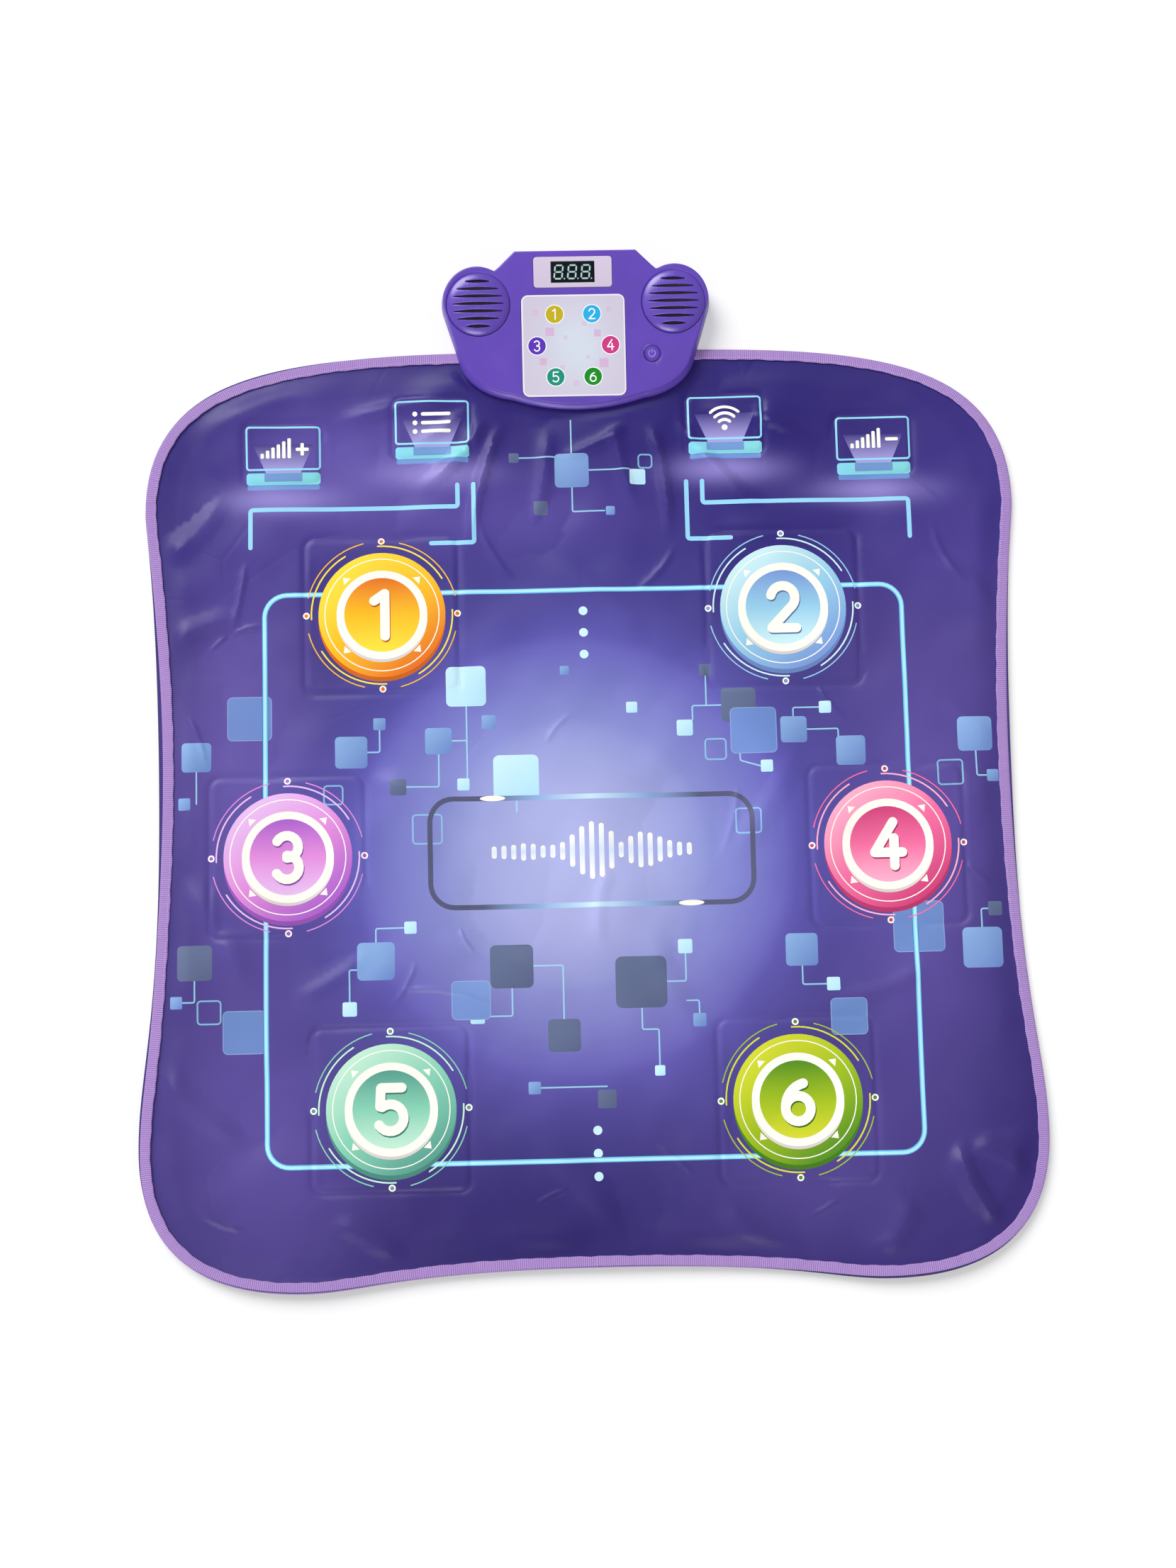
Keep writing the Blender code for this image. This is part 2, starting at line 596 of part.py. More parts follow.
def build_pads():
    """Each pad is the printed sheet on its stiff backing, over a perforated spacer."""
    cover = finish("pad_print", (98, 90, 170), 0.45)
    spacer = finish("spacer_foam", (214, 214, 206), 0.9)
    for name, size, corner, centre in pads():
        pad = prisms(name + "_pad", [rounded_rectangle(size, corner)], -PAD_THICKNESS, 0.0, cover)
        pad.location = (*centre, MAT_THICKNESS)
        x, y = size[0] / 2 - SPACER_INSET, size[1] / 2 - SPACER_INSET
        body = prisms(name + "_spacer", [rectangle(-x, x, -y, y)], 0.0, SPACER_THICKNESS, spacer)
        if name.startswith("step"):
            steps = (-SPACER_HOLE_PITCH, 0.0, SPACER_HOLE_PITCH)
            places = [(a, b) for a in steps for b in steps]
            radius = SPACER_HOLE_RADIUS
        else:
            places = [(-KEY_HOLE_PITCH / 2, 0.0), (KEY_HOLE_PITCH / 2, 0.0)]
            radius = KEY_HOLE_RADIUS
        holes = prisms(name + "_spacer_holes", [circle(radius, 6, p) for p in places],
                       -PAST, SPACER_THICKNESS + PAST)
        for part in (body, holes):
            part.location = (*centre, SPACER_BOTTOM)
        cut(body, holes)


def case_screw_places():
    """Where the two halves of the housing are screwed together, and whether that is behind the mat."""
    return [((side * x, CONSOLE_Y + y), spot) for side in (-1, 1)
            for spot, (x, y) in (("rear", REAR_SCREWS), ("front", FRONT_SCREWS))]


def build_upper_shell(purple, deck):
    """The moulded cover: a sloping deck with ears, drawn-in walls, recesses and screw posts."""
    edge = DECK_EDGE_INSET
    soft = DECK_EDGE_ROUND
    foot = PARTING_Z + GAP
    shell = loft("upper_shell", console_outline(), [
        (edge - soft + WALL, on_deck(-DECK_THICKNESS)), (WALL, foot), (0.0, foot),
        (edge - soft, on_deck(-soft)), (edge - soft * 0.6, on_deck(-soft * 0.35)), (edge, on_deck(0.0))],
        purple)

    posts = bmesh.new()
    bore = SCREW_RADIUS + SCREW_CLEARANCE
    for place, _ in case_screw_places():
        top = deck_z(place[1]) - DECK_THICKNESS / 2
        end = top - DECK_THICKNESS
        tube = [(0.0, end), (bore, end), (bore, foot), (BOSS_RADIUS, foot), (BOSS_RADIUS, top), (0.0, top)]
        add_turned(posts, tube, SMALL_STEPS, place)
    add(shell, make("case_posts", posts, None))

    sunk = -DECK_THICKNESS + 0.5 * MM
    posts = bmesh.new()
    x = BOARD_HALF_WIDTH - BOARD_POST_INSET
    for v in (BOARD_FRONT + BOARD_POST_INSET, BOARD_REAR - BOARD_POST_INSET):
        for side in (-1, 1):
            add_prism(posts, circle(POST_RADIUS, 8, (PANEL_CENTRE[0] + side * x, v)), BOARD_TOP + GAP, sunk)
    x = DISPLAY_BOARD_SIZE[0] / 2 - POST_RADIUS
    for side in (-1, 1):
        add_prism(posts, circle(POST_RADIUS, 8, (BEZEL_CENTRE[0] + side * x, BEZEL_CENTRE[1])),
                  display_board_top() + GAP, sunk)
    add(shell, make("board_posts", posts, None, deck))

    below = -DECK_THICKNESS - PAST
    recesses = bmesh.new()
    for size, centre, corner in ((PANEL_SIZE, PANEL_CENTRE, PANEL_CORNER),
                                 (BEZEL_SIZE, BEZEL_CENTRE, BEZEL_CORNER)):
        grown = (size[0] + 2 * GAP, size[1] + 2 * GAP)
        add_prism(recesses, rounded_rectangle(grown, corner + GAP, centre), -RECESS_DEPTH, FAR_PAST)
    for side in (-1, 1):
        hole, seat = GRILLE_RADIUS - GRILLE_SEAT, GRILLE_RADIUS + GAP
        profile = [(0.0, below), (hole, below), (hole, -GRILLE_SEAT_DEPTH), (seat, -GRILLE_SEAT_DEPTH),
                   (seat, FAR_PAST), (0.0, FAR_PAST)]
        add_turned(recesses, profile, ROUND_STEPS, (side * GRILLE_CENTRE[0], GRILLE_CENTRE[1]))
    add_prism(recesses, circle(BUTTON_RADIUS + SCREW_CLEARANCE, 24, BUTTON_CENTRE), below, FAR_PAST)
    cut(shell, make("deck_recesses", recesses, None, deck))

    openings = [circle(INDICATOR_WINDOW_RADIUS, 10, p) for p in indicator_places()]
    openings.append(display_opening())
    cut(shell, prisms("deck_openings", openings, below, FAR_PAST, parent=deck))


def display_opening():
    x, y = (s / 2 + GAP for s in DISPLAY_SIZE)
    return rectangle(BEZEL_CENTRE[0] - x, BEZEL_CENTRE[0] + x, BEZEL_CENTRE[1] - y, BEZEL_CENTRE[1] + y)


def indicator_places():
    """Centres of the six numbered circles on the deck, 1 to 6."""
    places = []
    for x, y in ((INDICATOR_ROW_X, INDICATOR_ROW_Y), (INDICATOR_SIDE_X, 0.0),
                 (INDICATOR_ROW_X, -INDICATOR_ROW_Y)):
        places += [(PANEL_CENTRE[0] + side * x, PANEL_CENTRE[1] + y) for side in (-1, 1)]
    return places


def display_board_top():
    return BEZEL_THICKNESS - RECESS_DEPTH - DISPLAY_HEIGHT - GAP


def build_lower_shell(purple):
    """The tray: low over the mat, down to the floor behind it, with the battery bay and screw bosses."""
    outline = console_outline()
    shell = loft("lower_shell", outline, [(LOWER_DRAFT, 0.0), (0.0, PARTING_Z)], purple)
    floor = FRONT_FLOOR_Z + FRONT_FLOOR
    hollows = bmesh.new()
    add_prism(hollows, rectangle(-BESIDE, BESIDE, CONSOLE_Y - BESIDE, STEP_Y), -FAR_PAST, FRONT_FLOOR_Z)
    add_prism(hollows, inset(outline, LOWER_DRAFT + WALL), floor, PARTING_Z + FAR_PAST)
    cut(shell, make("tray_hollows", hollows, None))
    lower = inset(outline, LOWER_DRAFT + WALL + 0.5 * MM)
    cut(shell, prisms("rear_hollow", [beyond(lower, STEP_Y + WALL)], REAR_FLOOR, floor + 0.5 * MM))

    w, t = BAY_HALF_WIDTH, BAY_WALL
    bore = SCREW_RADIUS + SCREW_CLEARANCE
    half = SMALL_STEPS // 2
    raised, holes = bmesh.new(), bmesh.new()
    block = rectangle(-w - t, w + t, BAY_FRONT_Y - t, BAY_REAR_Y + t)
    add_prism(raised, block, REAR_FLOOR / 2, BAY_CEILING + t)
    add_prism(holes, rectangle(-w, w, BAY_FRONT_Y, BAY_REAR_Y), GAP, BAY_CEILING)
    place = (DOOR_SCREW_X, BAY_CENTRE_Y)
    add_turned(raised, cylinder(BOSS_RADIUS, REAR_FLOOR / 2, DOOR_BOSS_TOP), SMALL_STEPS, place)
    add_turned(holes, cylinder(bore, GAP, DOOR_BOSS_TOP + PAST), half, place)
    for place, spot in case_screw_places():
        under = underside(spot)
        add_turned(raised, cylinder(BOSS_RADIUS, under + FRONT_FLOOR / 2, PARTING_Z), SMALL_STEPS, place)
        add_turned(holes, bored(under - PAST, under + screw_seat(spot), PARTING_Z + PAST), half, place)
    for place in clamp_screw_places():
        bottom = FRONT_FLOOR_Z + FRONT_FLOOR / 2
        add_turned(raised, cylinder(BOSS_RADIUS, bottom, CLAMP_BOSS_TOP), SMALL_STEPS, place)
        add_turned(holes, cylinder(bore, FRONT_FLOOR_Z - PAST, CLAMP_BOSS_TOP + PAST), half, place)
    add_prism(holes, cable_slot(), FRONT_FLOOR_Z - PAST, PARTING_Z)
    left, right = DOOR_LEFT - GAP, DOOR_RIGHT + GAP
    reach = TONGUE_WIDTH / 2 + GAP
    for y in tongue_places():
        notch = rectangle(left - TONGUE_REACH - GAP, left + DOOR_LEDGE - GAP, y - reach, y + reach)
        add_prism(holes, notch, DOOR_TOP - TONGUE_THICKNESS - GAP, REAR_FLOOR + PAST)
    recess = rectangle(left, right, BAY_FRONT_Y - DOOR_LEDGE - GAP, BAY_REAR_Y + DOOR_LEDGE + GAP)
    add(shell, make("bay_block_and_bosses", raised, None))
    cut(shell, prisms("door_recess", [recess], -FAR_PAST, DOOR_RECESS))
    cut(shell, make("bay_and_bores", holes, None))


def underside(spot):
    """Height of the housing's underside where a case screw goes in."""
    return 0.0 if spot == "rear" else FRONT_FLOOR_Z


def screw_seat(spot):
    """Depth of a case screw's head seat above the underside it goes in from."""
    return 2 * REAR_FLOOR if spot == "rear" else SCREW_HEAD_HEIGHT + 3 * GAP


def screw(name, place, head_bottom, tip, steel):
    """A pan-head screw that points up."""
    top = head_bottom + SCREW_HEAD_HEIGHT
    profile = [(0.0, head_bottom), (SCREW_HEAD_RADIUS * 0.75, head_bottom),
               (SCREW_HEAD_RADIUS, head_bottom + SCREW_HEAD_HEIGHT * 0.5), (SCREW_HEAD_RADIUS, top),
               (SCREW_RADIUS, top), (SCREW_RADIUS, tip - SCREW_RADIUS), (0.0, tip)]
    return turned(name, profile, SCREW_STEPS, steel, place=(*place, 0.0))


def build_fixings(steel):
    for place, spot in case_screw_places():
        hand = "left" if place[0] < 0 else "right"
        head = underside(spot) + screw_seat(spot) - GAP - SCREW_HEAD_HEIGHT
        tip = min(PARTING_Z + CASE_SCREW_DEPTH, deck_z(place[1]) - 2 * DECK_THICKNESS)
        screw(f"case_screw_{spot}_{hand}", place, head, tip, steel)

    edge = rounded_rectangle(CLAMP_PLATE_SIZE, CLAMP_PLATE_CORNER, (0.0, CONSOLE_Y + CLAMP_Y))
    bottom = FILM_TOP + 2 * GAP
    zinc = finish("zinc_steel", (168, 170, 172), 0.4, 1.0)
    plate = prisms("clamp_plate", [edge], bottom, CORE_TOP, zinc)
    seat = bottom + SCREW_HEAD_HEIGHT + 2 * GAP
    holes = bmesh.new()
    for k, place in enumerate(clamp_screw_places()):
        add_turned(holes, bored(bottom - PAST, seat, CORE_TOP + PAST), SCREW_STEPS, place)
        screw(f"clamp_screw_{k + 1}", place, seat - GAP - SCREW_HEAD_HEIGHT, CLAMP_BOSS_TOP - GAP, steel)
    cut(plate, make("plate_holes", holes, None))


def build_cable(orange):
    """The flat cable: a foot on the film, then straight up through the slots."""
    y = CONSOLE_Y + CABLE_Y
    t = CABLE_THICKNESS
    foot = FILM_TOP + GAP
    end = deck_z(y) + (BOARD_TOP - BOARD_THICKNESS - CONNECTOR_HEIGHT - GAP) / math.cos(DECK_SLOPE) - GAP
    section = [(y - CABLE_FOOT, foot), (y + t, foot), (y + t, end), (y, end), (y, foot + t),
               (y - CABLE_FOOT, foot + t)]
    mesh = bmesh.new()
    half = CABLE_WIDTH / 2
    add_rings(mesh, [[(x, a, z) for a, z in section] for x in (-half, half)])
    make("flat_cable", mesh, orange)


def build_deck_fittings(deck, purple):
    """What sits in or under the deck, in its own slope."""
    pale = finish("panel_pale", (216, 210, 226), 0.3)
    panel = prisms("indicator_panel", [rounded_rectangle(PANEL_SIZE, PANEL_CORNER, PANEL_CENTRE, 5)],
                   GAP - RECESS_DEPTH, GAP - RECESS_DEPTH + PANEL_THICKNESS, pale, deck)
    panel.modifiers.new("edge", "BEVEL").width = 0.3 * MM

    top = GAP - RECESS_DEPTH + BEZEL_THICKNESS
    bezel = prisms("display_bezel", [rounded_rectangle(BEZEL_SIZE, BEZEL_CORNER, BEZEL_CENTRE, 4)],
                   GAP - RECESS_DEPTH, top, pale, deck)
    cut(bezel, prisms("bezel_window", [display_opening()], -FAR_PAST, FAR_PAST, parent=deck))

    half = [s / 2 for s in DISPLAY_SIZE]
    face = display_board_top() + GAP + DISPLAY_HEIGHT
    prisms("number_display", [rectangle(BEZEL_CENTRE[0] - half[0], BEZEL_CENTRE[0] + half[0],
                                        BEZEL_CENTRE[1] - half[1], BEZEL_CENTRE[1] + half[1])],
           face - DISPLAY_HEIGHT, face, finish("display_black", (22, 24, 30), 0.25), deck)
    green = finish("board_green", (38, 92, 58), 0.45)
    prisms("display_board", [rounded_rectangle(DISPLAY_BOARD_SIZE, 1.5 * MM, BEZEL_CENTRE, 1)],
           display_board_top() - DISPLAY_BOARD_THICKNESS, display_board_top(), green, deck)

    build_main_board(deck, green)

    r, flange = BUTTON_RADIUS, BUTTON_RADIUS + BUTTON_FLANGE
    under = -DECK_THICKNESS - GAP
    base = under - BUTTON_FLANGE_THICKNESS
    proud = BUTTON_PROUD
    profile = [(0.0, proud * 0.5), (r * 0.6, proud * 0.7), (r * 0.74, proud * 0.6),
               (r * 0.79, proud - BUTTON_GROOVE), (r * 0.84, proud - BUTTON_GROOVE), (r * 0.89, proud),
               (r * 0.96, proud), (r, proud * 0.3), (r, under), (flange, under), (flange, base), (0.0, base)]
    turned("power_button", profile, 24, purple, deck, (*BUTTON_CENTRE, 0.0))


def build_main_board(deck, green):
    """A board with a wing to the power switch, its lamps, switch dome, chips and cable connector."""
    x, wing = BOARD_HALF_WIDTH, BOARD_WING_HALF
    left, right = PANEL_CENTRE[0] - x, PANEL_CENTRE[0] + x
    tip = BUTTON_CENTRE[0] + wing
    low, high = BUTTON_CENTRE[1] - wing, BUTTON_CENTRE[1] + wing
    outline = [(left, BOARD_FRONT), (right, BOARD_FRONT), (right, low), (tip, low), (tip, high),
               (right, high), (right, BOARD_REAR), (left, BOARD_REAR)]
    under = BOARD_TOP - BOARD_THICKNESS
    board = prisms("main_board", [outline], under, BOARD_TOP, green, deck)
    sunk = 0.2 * MM
    fitted = bmesh.new()
    for place in indicator_places():
        add_prism(fitted, circle(INDICATOR_LAMP_RADIUS, 8, place), BOARD_TOP - sunk, -DECK_THICKNESS)
    dome = -DECK_THICKNESS - 2 * GAP - BUTTON_FLANGE_THICKNESS - BUTTON_TRAVEL
    add_prism(fitted, circle(SWITCH_DOME_RADIUS, 8, BUTTON_CENTRE), BOARD_TOP - sunk, dome)
    half = CABLE_WIDTH / 2 + CONNECTOR_MARGIN
    rear = CABLE_Y / math.cos(DECK_SLOPE) + CONNECTOR_MARGIN
    connector = rectangle(-half, half, rear - CONNECTOR_LENGTH, rear)
    add_prism(fitted, connector, under - CONNECTOR_HEIGHT, under + sunk)
    for size, centre in ((MAIN_CHIP, MAIN_CHIP_CENTRE), (SOUND_CHIP, SOUND_CHIP_CENTRE)):
        chip = rounded_rectangle(size, CHIP_CORNER, centre, 1)
        add_prism(fitted, chip, BOARD_TOP - sunk, BOARD_TOP + CHIP_HEIGHT)
    add(board, make("board_parts", fitted, None, deck))


def build_speakers(deck, purple):
    """A domed, slotted grille over a speaker on each ear."""
    black = finish("speaker_frame_black", (34, 34, 38), 0.5)
    paper = finish("cone_paper", (52, 50, 54), 0.85)
    metal = finish("magnet_steel", (150, 150, 154), 0.4, 1.0)
    for side, hand in ((-1, "left"), (1, "right")):
        place = (side * GRILLE_CENTRE[0], GRILLE_CENTRE[1], 0.0)
        grille = turned(f"speaker_grille_{hand}", grille_profile(), ROUND_STEPS + 8, purple, deck, place)
        slots = prisms(f"grille_slots_{hand}", [slot_outline(k) for k in range(SLOT_ROWS)], *SLOT_CUT,
                       parent=deck)
        slots.location = place
        cut(grille, slots)

        top = -DECK_THICKNESS - GAP
        floor = top - SPEAKER_DEPTH
        wall = BASKET_WALL
        frame = [(SPEAKER_RADIUS, top), (SPEAKER_RADIUS, top - SPEAKER_FLANGE),
                 (BASKET_RADIUS + wall, top - SPEAKER_FLANGE), (MAGNET_RADIUS, floor),
                 (BASKET_HOLE_RADIUS, floor), (BASKET_HOLE_RADIUS, floor + wall),
                 (MAGNET_RADIUS - wall, floor + wall), (BASKET_RADIUS, top)]
        turned(f"speaker_frame_{hand}", frame, 24, black, deck, place, closed=True)
        rim, neck = top - CONE_RIM[1], floor + CONE_LIFT
        edge = BASKET_RADIUS - CONE_RIM[0]
        cone = [(0.0, neck + DUST_CAP_HEIGHT), (CONE_NECK_RADIUS, neck + wall), (edge, rim),
                (edge - CONE_THICKNESS, rim - CONE_THICKNESS), (CONE_NECK_RADIUS, neck), (0.0, neck)]
        turned(f"speaker_cone_{hand}", cone, 24, paper, deck, place)
        lid = floor - GAP
        magnet = cylinder(MAGNET_RADIUS, lid - MAGNET_HEIGHT, lid)
        turned(f"speaker_magnet_{hand}", magnet, 24, metal, deck, place)


def grille_profile():
    """A low drum with a rounded shoulder and a crowned top, hollow below."""
    foot = GAP - GRILLE_SEAT_DEPTH
    r, h, wall = GRILLE_RADIUS, GRILLE_SHOULDER, GRILLE_WALL
    outside = [(0.0, h + GRILLE_CROWN)]
    for share in (0.35, 0.65):
        outside.append((r * share, h + GRILLE_CROWN * (1 - share ** 2)))
    corner = (r - h, foot + 0.5 * MM)
    for i in range(5):
        angle = math.radians(80 - 20 * i)
        outside.append((corner[0] + h * math.cos(angle), corner[1] + h * math.sin(angle)))
    inside = [(r - wall, foot), (r - wall - h * 0.35, foot + h * 0.55),
              (r * 0.6, h + GRILLE_CROWN * 0.6 - wall), (0.0, h + GRILLE_CROWN - wall)]
    return outside + [(r, foot)] + inside


def slot_outline(row):
    """A lens: as long as the round field allows at its row, high in the middle, low at its ends."""
    y = (row - (SLOT_ROWS - 1) / 2) * SLOT_PITCH
    half = math.sqrt(SLOT_FIELD_RADIUS ** 2 - y ** 2)
    shares = (-1.0, -0.55, 0.0, 0.55, 1.0)
    heights = [(SLOT_END_HEIGHT + (SLOT_MID_HEIGHT - SLOT_END_HEIGHT) * (1 - s * s)) / 2 for s in shares]
    upper = [(half * s, y + h) for s, h in zip(shares, heights)]
    lower = [(half * s, y - h) for s, h in zip(shares, heights)]
    return lower + upper[::-1]


def tongue_places():
    return (BAY_CENTRE_Y - TONGUE_OFFSET, BAY_CENTRE_Y + TONGUE_OFFSET)


def build_battery_bay(purple, steel):
    """Four cells between two contact strips, and the door with its tongues and captive screw."""
    jacket = finish("cell_jacket", (60, 62, 68), 0.4)
    r, length = CELL_RADIUS, CELL_LENGTH
    end = length - CELL_NUB_LENGTH
    profile = [(0.0, 0.0), (r * 0.95, 0.0), (r, CELL_EDGE), (r, end - CELL_EDGE), (r * 0.95, end),
               (CELL_NUB_RADIUS, end), (CELL_NUB_RADIUS, length), (0.0, length)]
    for k in range(CELL_COUNT):
        x = (k - (CELL_COUNT - 1) / 2) * CELL_PITCH
        cell = turned(f"battery_cell_{k + 1}", profile, 20, jacket)
        turn = -90 if k % 2 else 90
        start = BAY_CENTRE_Y + length / 2 if turn > 0 else BAY_CENTRE_Y - length / 2
        lying = Matrix.Rotation(math.radians(turn), 4, "X")
        cell.matrix_world = Matrix.Translation((x, start, CELL_Z)) @ lying

    plated = finish("contact_nickel", (190, 188, 180), 0.3, 1.0)
    x = BAY_HALF_WIDTH - GAP
    bottom, top = CELL_Z - CONTACT_HALF_HEIGHT, CELL_Z + CONTACT_HALF_HEIGHT
    for y, inward, name in ((BAY_FRONT_Y + GAP, 1, "front"), (BAY_REAR_Y - GAP, -1, "rear")):
        face = y + inward * CONTACT_THICKNESS
        edge = rectangle(-x, x, min(y, face), max(y, face))
        strip = prisms(f"battery_contacts_{name}", [edge], bottom, top, plated)
        reach = CONTACT_ROOM - CONTACT_THICKNESS - 2 * GAP
        springs = bmesh.new()
        for k in range(CELL_COUNT):
            middle = (k - (CELL_COUNT - 1) / 2) * CELL_PITCH
            rings = []
            for radius, out in zip(SPRING_RADII, (-CONTACT_THICKNESS / 2, reach)):
                ring = circle(radius, 8, (middle, CELL_Z))
                rings.append([(a, face + inward * out, b) for a, b in ring])
            add_rings(springs, rings)
        add(strip, make(f"contact_springs_{name}", springs, None))

    hinge = bpy.data.objects.new("battery_door_hinge", None)
    hinge.location = (DOOR_LEFT - GAP, BAY_CENTRE_Y, 0.0)
    bpy.context.scene.collection.objects.link(hinge)
    half = BAY_LENGTH / 2 + DOOR_LEDGE
    left = GAP
    right = DOOR_RIGHT - DOOR_LEFT + GAP
    door = prisms("battery_door", [rectangle(left, right, -half, half)], GAP, DOOR_TOP, purple, hinge)
    tongues = [rectangle(left - TONGUE_REACH, left + PAST, s * TONGUE_OFFSET - TONGUE_WIDTH / 2,
                         s * TONGUE_OFFSET + TONGUE_WIDTH / 2) for s in (-1, 1)]
    add(door, prisms("door_tongues", tongues, DOOR_TOP - TONGUE_THICKNESS, DOOR_TOP, parent=hinge))
    screw_x = DOOR_SCREW_X - DOOR_LEFT + GAP
    sink = GAP + DOOR_THICKNESS * 0.45
    for name, radius, top in (("door_sink", SCREW_HEAD_RADIUS + GAP, sink),
                              ("door_bore", SCREW_RADIUS + GAP, DOOR_TOP + PAST)):
        profile = cylinder(radius, -PAST, top)
        cut(door, turned(name, profile, SCREW_STEPS, parent=hinge, place=(screw_x, 0.0, 0.0)))
    head = GAP / 2
    under = sink - GAP
    flat = [(0.0, head), (SCREW_HEAD_RADIUS, head), (SCREW_HEAD_RADIUS, under), (SCREW_RADIUS, under),
            (SCREW_RADIUS, REAR_FLOOR + 1.8 * MM), (0.0, REAR_FLOOR + 2.8 * MM)]
    turned("battery_door_screw", flat, 12, steel, hinge, (screw_x, 0.0, 0.0))


def main():
    for obj in list(bpy.data.objects):
        bpy.data.objects.remove(obj, do_unlink=True)
    deck = bpy.data.objects.new("deck_frame", None)
    deck.location = (0.0, CONSOLE_Y, DECK_FRONT_Z)
    deck.rotation_euler = (DECK_SLOPE, 0.0, 0.0)
    bpy.context.scene.collection.objects.link(deck)

    purple = finish("console_purple", (104, 76, 190), 0.4)
    steel = finish("screw_steel", (160, 160, 164), 0.35, 1.0)
    build_mat_layers()
    build_pads()
    build_lower_shell(purple)
    build_upper_shell(purple, deck)
    build_deck_fittings(deck, purple)
    build_speakers(deck, purple)
    build_battery_bay(purple, steel)
    build_fixings(steel)
    build_cable(finish("cable_amber", (196, 140, 60), 0.35))
    for obj in bpy.context.scene.objects:
        if obj.type == "MESH" and not obj.hide_render:
            obj.modifiers.new("shading", "WEIGHTED_NORMAL").keep_sharp = True


main()
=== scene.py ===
"""Looks of the electronic dance mat: its sheets, sewn tape, pads, console, finishes, light and camera."""
import math

import bmesh
import bpy
import numpy as np
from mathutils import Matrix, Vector
from mathutils.geometry import delaunay_2d_cdt


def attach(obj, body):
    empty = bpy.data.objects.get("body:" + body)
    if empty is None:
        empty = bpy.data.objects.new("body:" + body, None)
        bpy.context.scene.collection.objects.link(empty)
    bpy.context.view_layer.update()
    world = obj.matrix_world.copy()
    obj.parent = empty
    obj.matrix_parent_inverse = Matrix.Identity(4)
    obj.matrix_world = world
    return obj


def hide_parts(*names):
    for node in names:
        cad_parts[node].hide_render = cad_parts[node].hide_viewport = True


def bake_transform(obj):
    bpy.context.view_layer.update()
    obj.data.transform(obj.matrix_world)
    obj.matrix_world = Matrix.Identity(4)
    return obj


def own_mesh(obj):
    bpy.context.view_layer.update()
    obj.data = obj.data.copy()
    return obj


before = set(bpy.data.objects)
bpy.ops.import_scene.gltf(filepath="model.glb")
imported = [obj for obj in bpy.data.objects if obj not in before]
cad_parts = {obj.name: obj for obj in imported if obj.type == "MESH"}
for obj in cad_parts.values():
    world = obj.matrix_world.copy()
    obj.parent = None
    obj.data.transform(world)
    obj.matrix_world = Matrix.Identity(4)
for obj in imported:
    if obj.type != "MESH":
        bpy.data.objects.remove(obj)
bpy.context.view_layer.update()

MM = 0.001

# Mat outline, the same curves as the frame's
MAT_TOP_Y, MAT_BOTTOM_Y, BOTTOM_ARCH = 463.0 * MM, -465.5 * MM, 17.7 * MM
UPPER_SIDE, WAIST, LOWER_SIDE = (435.5 * MM, 300.0 * MM), (421.7 * MM, 0.0), (440.3 * MM, -325.0 * MM)
FOOT_X = 280.0 * MM
ARCH_HANDLE, FOOT_HANDLES, LOWER_HANDLES = 195 * MM, (55 * MM, 75 * MM), (118 * MM, 75 * MM)
WAIST_HANDLES, UPPER_HANDLES, TOP_HANDLE = (-210 * MM, 208 * MM), (22 * MM, 175 * MM), 240 * MM

# Layers of the mat
BASE_TOP = 0.6 * MM
FILM_BOTTOM, FILM_TOP = 0.9 * MM, 1.2 * MM
CORE_BOTTOM = 1.5 * MM
SHEET_THICKNESS = 0.6 * MM
LAYER_GAP = 0.3 * MM
MAT_THICKNESS = 6.1 * MM
RIM_TOP = 3.45 * MM
RIM_WIDTH, FULL_WIDTH, SETTLE_WIDTH = 12.0 * MM, 38.0 * MM, 22 * MM
FOLD_HEIGHT = 2.1
LOWEST, HIGHEST = -1.8 * MM, 9 * MM
CURL_REACH, CURL_POWER = 56 * MM, 1.7
PAD_GROOVE, PAD_RISE = 1.2 * MM, 0.5 * MM

# Tape and stitches
TAPE_WIDTH, TAPE_THICKNESS, TAPE_BOTTOM, TAPE_TOP = 11.0 * MM, 0.45 * MM, 0.9 * MM, 4.2 * MM
TAPE_RISE, TAPE_RISE_FROM = 0.08, 3 * MM
RIB_PITCH, RIB_HEIGHT, PUCKER_HEIGHT = 2.0 * MM, 0.09 * MM, 0.12 * MM
STITCH_PITCH, STITCH_INSET = 3.4 * MM, 9.1 * MM
STITCH_HALF, THREAD_RADIUS, STITCH_SINK = 1.25 * MM, 0.27 * MM, 0.22 * MM

# Pads
PAD_BOTTOM = 3.9 * MM
SPACER_TOP, SPACER_MARGIN = 3.6 * MM, 6.8 * MM
STEP_WINDOW, STEP_CORNER = (150.8 * MM, 156.8 * MM), 10.4 * MM
KEY_WINDOW, KEY_CORNER = (76.8 * MM, 60.8 * MM), 8.4 * MM
STEPS = [(-200, 194), (200, 194), (-295, -46), (295, -46), (-197, -293), (197, -293)]
KEYS = {"volume_up": (-297, 360), "mode": (-147.5, 384), "wireless": (147.5, 384), "volume_down": (297, 360)}

